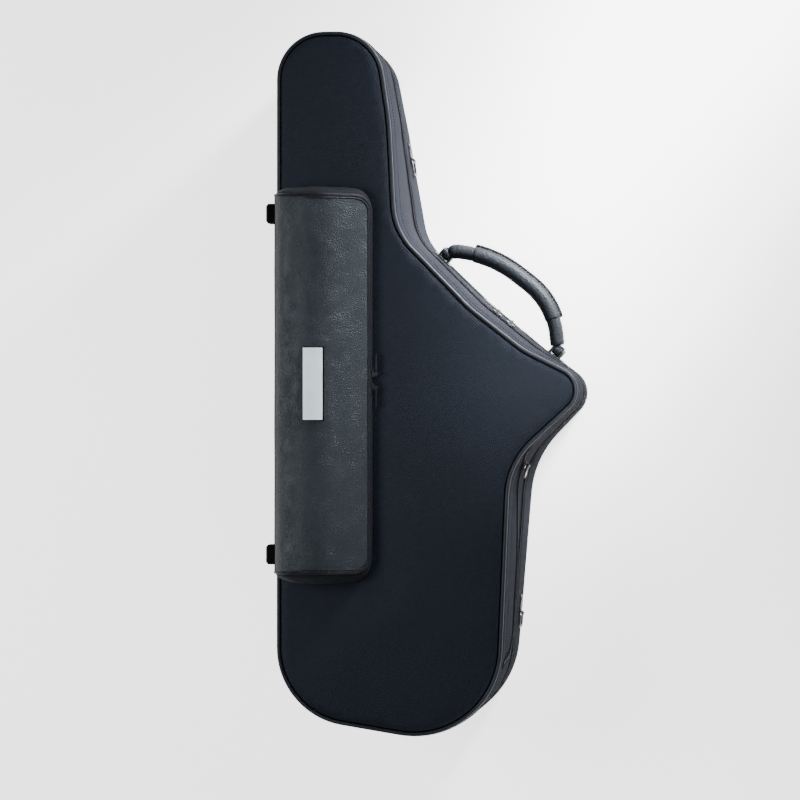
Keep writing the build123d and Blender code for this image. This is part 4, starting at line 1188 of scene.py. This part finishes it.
def strap_parts(name, centre, up):
    """A strap ring's wire with its leather tab and the tab's stitches."""
    low, high = box_of("strap_ring_" + name)
    down = (Vector(low) + Vector(high)) / 2 - centre
    down = (down - up * down.dot(up)).normalized()
    out = up.cross(down).normalized()
    out = -out if out.x < 0 else out
    frames = []
    for point, along in even_points(RING_RUN, 1.6)[:-1]:
        spot = centre + down * point.x + up * point.y
        frames.append((spot, (down * along.x + up * along.y).cross(out).normalized(), out, 1.0))
    swept = sweep(frames, circle_section(WIRE_RADIUS, 10), closed=True)
    piece("strap_ring_wire_" + name, *swept, "nickel_plate", name + "_ring", "strap_ring_" + name)

    def place(back, lift, rise):
        """A point from the pin in the tab's own directions."""
        return centre - down * back + out * lift + up * rise

    shares = evenly(-0.5, 0.5, TAB_STEPS)
    verts = []
    for share in shares:
        tuck = TAB_TUCK * (abs(share) * 2) ** 6
        verts += [place(a, b - tuck * (1 if b > 0 else -0.2), share * TAB_WIDTH) for a, b in TAB_SECTION]
    faces = loop_faces(TAB_STEPS + 1, len(TAB_SECTION))
    faces += loop_faces(TAB_STEPS + 1, BORE_SIDES, len(verts))
    bore = ellipse(BORE_RADIUS, BORE_RADIUS, BORE_SIDES)
    verts += [place(a, b, share * TAB_WIDTH) for share in shares for a, b in bore]
    tab_node = "strap_tab_" + name
    tab = piece("strap_tab_leather_" + name, verts, faces, "strap_leather", "base", tab_node)
    edit_mesh(tab, close_tab)
    places = [
        (place(TAB_STITCH_START + TAB_STITCH_PITCH * k, -TAB_FACE, side * TAB_STITCH_SIDE), -down, out)
        for side in (-1, 1) for k in range(4)
    ]
    stitch_row("strap_stitches_" + name, places, 2.4, "thread_grey", "base")


# Lining. The rows are (height, inset), from the glued edge over the rim to the middle.
CRADLE_ROWS = (
    (9.9, 10.6), (30.0, 10.5), (60.0, 10.5), (73.0, 10.6), (75.8, 12.0), (76.8, 15.0),
    (76.8, 21.5), (75.8, 24.6), (73.0, 26.3), (50.0, 26.5), (30.0, 26.5), (24.0, 28.0),
    (21.7, 32.0),
)
LINER_ROWS = (
    (195.1, 10.6), (150.0, 10.5), (100.0, 10.5), (85.5, 10.7), (83.6, 12.3), (83.6, 16.2),
    (85.5, 18.6), (90.0, 19.5), (120.0, 19.5), (160.0, 19.5), (182.0, 19.9), (185.6, 22.0),
    (186.3, 28.0),
)


def plush(name, rows, wave, seed, body, node_name, rim_wave):
    """A closed lining from rows up the wall, with a wavy middle and a flat back."""
    verts = []
    for k, (z, inset) in enumerate(rows):
        for point in ring(inset, z):
            lift = rim_wave * noise.noise(point * 0.03) if 5 < k < len(rows) - 1 else 0.0
            verts.append(point + UP * lift)
    count = len(verts) // len(rows)
    (edge_z, edge), (middle_z, middle) = rows[0], rows[-1]

    def middle_height(p):
        return middle_z + wave * noise.noise(Vector((p.x * 0.03, p.y * 0.03, seed)))

    faces = loop_faces(len(rows), count)
    faces += fill_cap(verts, ring(middle, middle_z), 12.0, (len(rows) - 1) * count, middle_height)
    faces += fill_cap(verts, ring(edge, edge_z), UNSEEN_SPACING, 0, lambda p: edge_z)
    piece(name, verts, faces, "plush_lining", body, node_name)


TUBE_X, TUBE_CUT, AXIS_Z = -108.6, 36.0, 88.0
# Each saddle has its place along, its left end if not the wall, and its cuts (x, z, radius).
SADDLES = (
    ("neck_saddle", 252.0, None, ((TUBE_X, AXIS_Z, TUBE_CUT),)),
    ("body_saddle", -117.6, None, ((TUBE_X, AXIS_Z, TUBE_CUT), (21.7, AXIS_Z, 50.0))),
    ("bell_saddle", 46.2, 0.0, ((72.4, 111.6, 78.0),)),
)
SADDLE_HALF, SADDLE_TOP, SADDLE_LOW = 22.8, 70.7, 21.9
SIDE_INSET, SIDE_HEIGHT, SIDE_DROP, SIDE_REACH = 27.0, 45.0, 2.5, 4.0
# How far each row of a saddle is from its end, and how far it is below the top there
SADDLE_EDGE = ((0.0, 4.5), (0.7, 2.2), (2.0, 0.8), (4.5, 0.0), (14.8, 0.0))


def saddles():
    columns = 90
    rows = [(from_end - SADDLE_HALF, drop) for from_end, drop in SADDLE_EDGE]
    rows += [(0.0, 0.0)] + [(-dy, drop) for dy, drop in reversed(rows)]
    for name, middle, left_end, cuts in SADDLES:
        verts = []
        for dy, drop in rows:
            y = middle + dy
            places = crossings(ring(SIDE_INSET, SIDE_HEIGHT), y)
            left, right = places[0] if left_end is None else left_end, places[-1]
            for x in evenly(left, right, columns):
                z = SADDLE_TOP
                for cx, cz, r in cuts:
                    if abs(x - cx) < r:
                        z = min(z, cz - sqrt(r * r - (x - cx) ** 2))
                z -= SIDE_DROP * max(0.0, 1 - min(x - left, right - x) / SIDE_REACH) ** 2
                verts.append(Vector((x, y, max(z - drop, SADDLE_LOW + 2))))
            verts += [Vector((x, y, SADDLE_LOW)) for x in (right, (left + right) / 2, left)]
        faces = tube_faces(len(rows), columns + 4)
        piece(name + "_plush", verts, faces, "plush_lining", "base", name)


wall_skins()
zipper_rows()
hinge_cloth()
front_cloth()
back_cloth()
pocket_cover()
pocket_hem()
plate_backing()
pocket_ends()
pocket_cord()
pocket_floor()
hinge_roll()
pocket_zipper()
document_zipper()
handle()
for name, (centre, up) in STRAPS.items():
    strap_parts(name, centre, up)
plush("cradle_plush", CRADLE_ROWS, 0.1, 1, "base", "base_cradle", 0.2)
plush("lid_plush", LINER_ROWS, -0.3, 6, "lid", "lid_liner", 0.0)
saddles()

# Hard parts carried over from the CAD, with the width of their edges' bevel
HARD = (
    ("shell_board", 0.0, "back_shell lid_shell"),
    ("nickel_plate", 0.3, "main_slider_upper main_slider_lower main_puller_upper main_puller_lower"),
    ("nickel_plate", 0.3, "document_slider document_puller handle_anchor_rivets strap_tab_rivets"),
    ("anchor_metal", 0.3, "handle_anchor_upper handle_anchor_lower handle_eyes handle_pins"),
    ("dark_zinc", 0.3, "pocket_slider_upper pocket_slider_lower pocket_puller_upper pocket_puller_lower"),
    ("foot_rubber", 0.8, "base_spine_feet lid_spine_feet"),
    ("plate_metal", 0.3, "name_plate"),
)
EDGE_ANGLE = radians(35)
for material, edge, names in HARD:
    for name in names.split():
        obj = nodes[name]
        obj.data.materials.clear()
        obj.data.materials.append(MATERIALS[material])
        if edge:
            modifier = obj.modifiers.new("edge", "BEVEL")
            modifier.width = edge * MM
            modifier.segments = 2
            modifier.limit_method = "ANGLE"
            modifier.angle_limit = EDGE_ANGLE
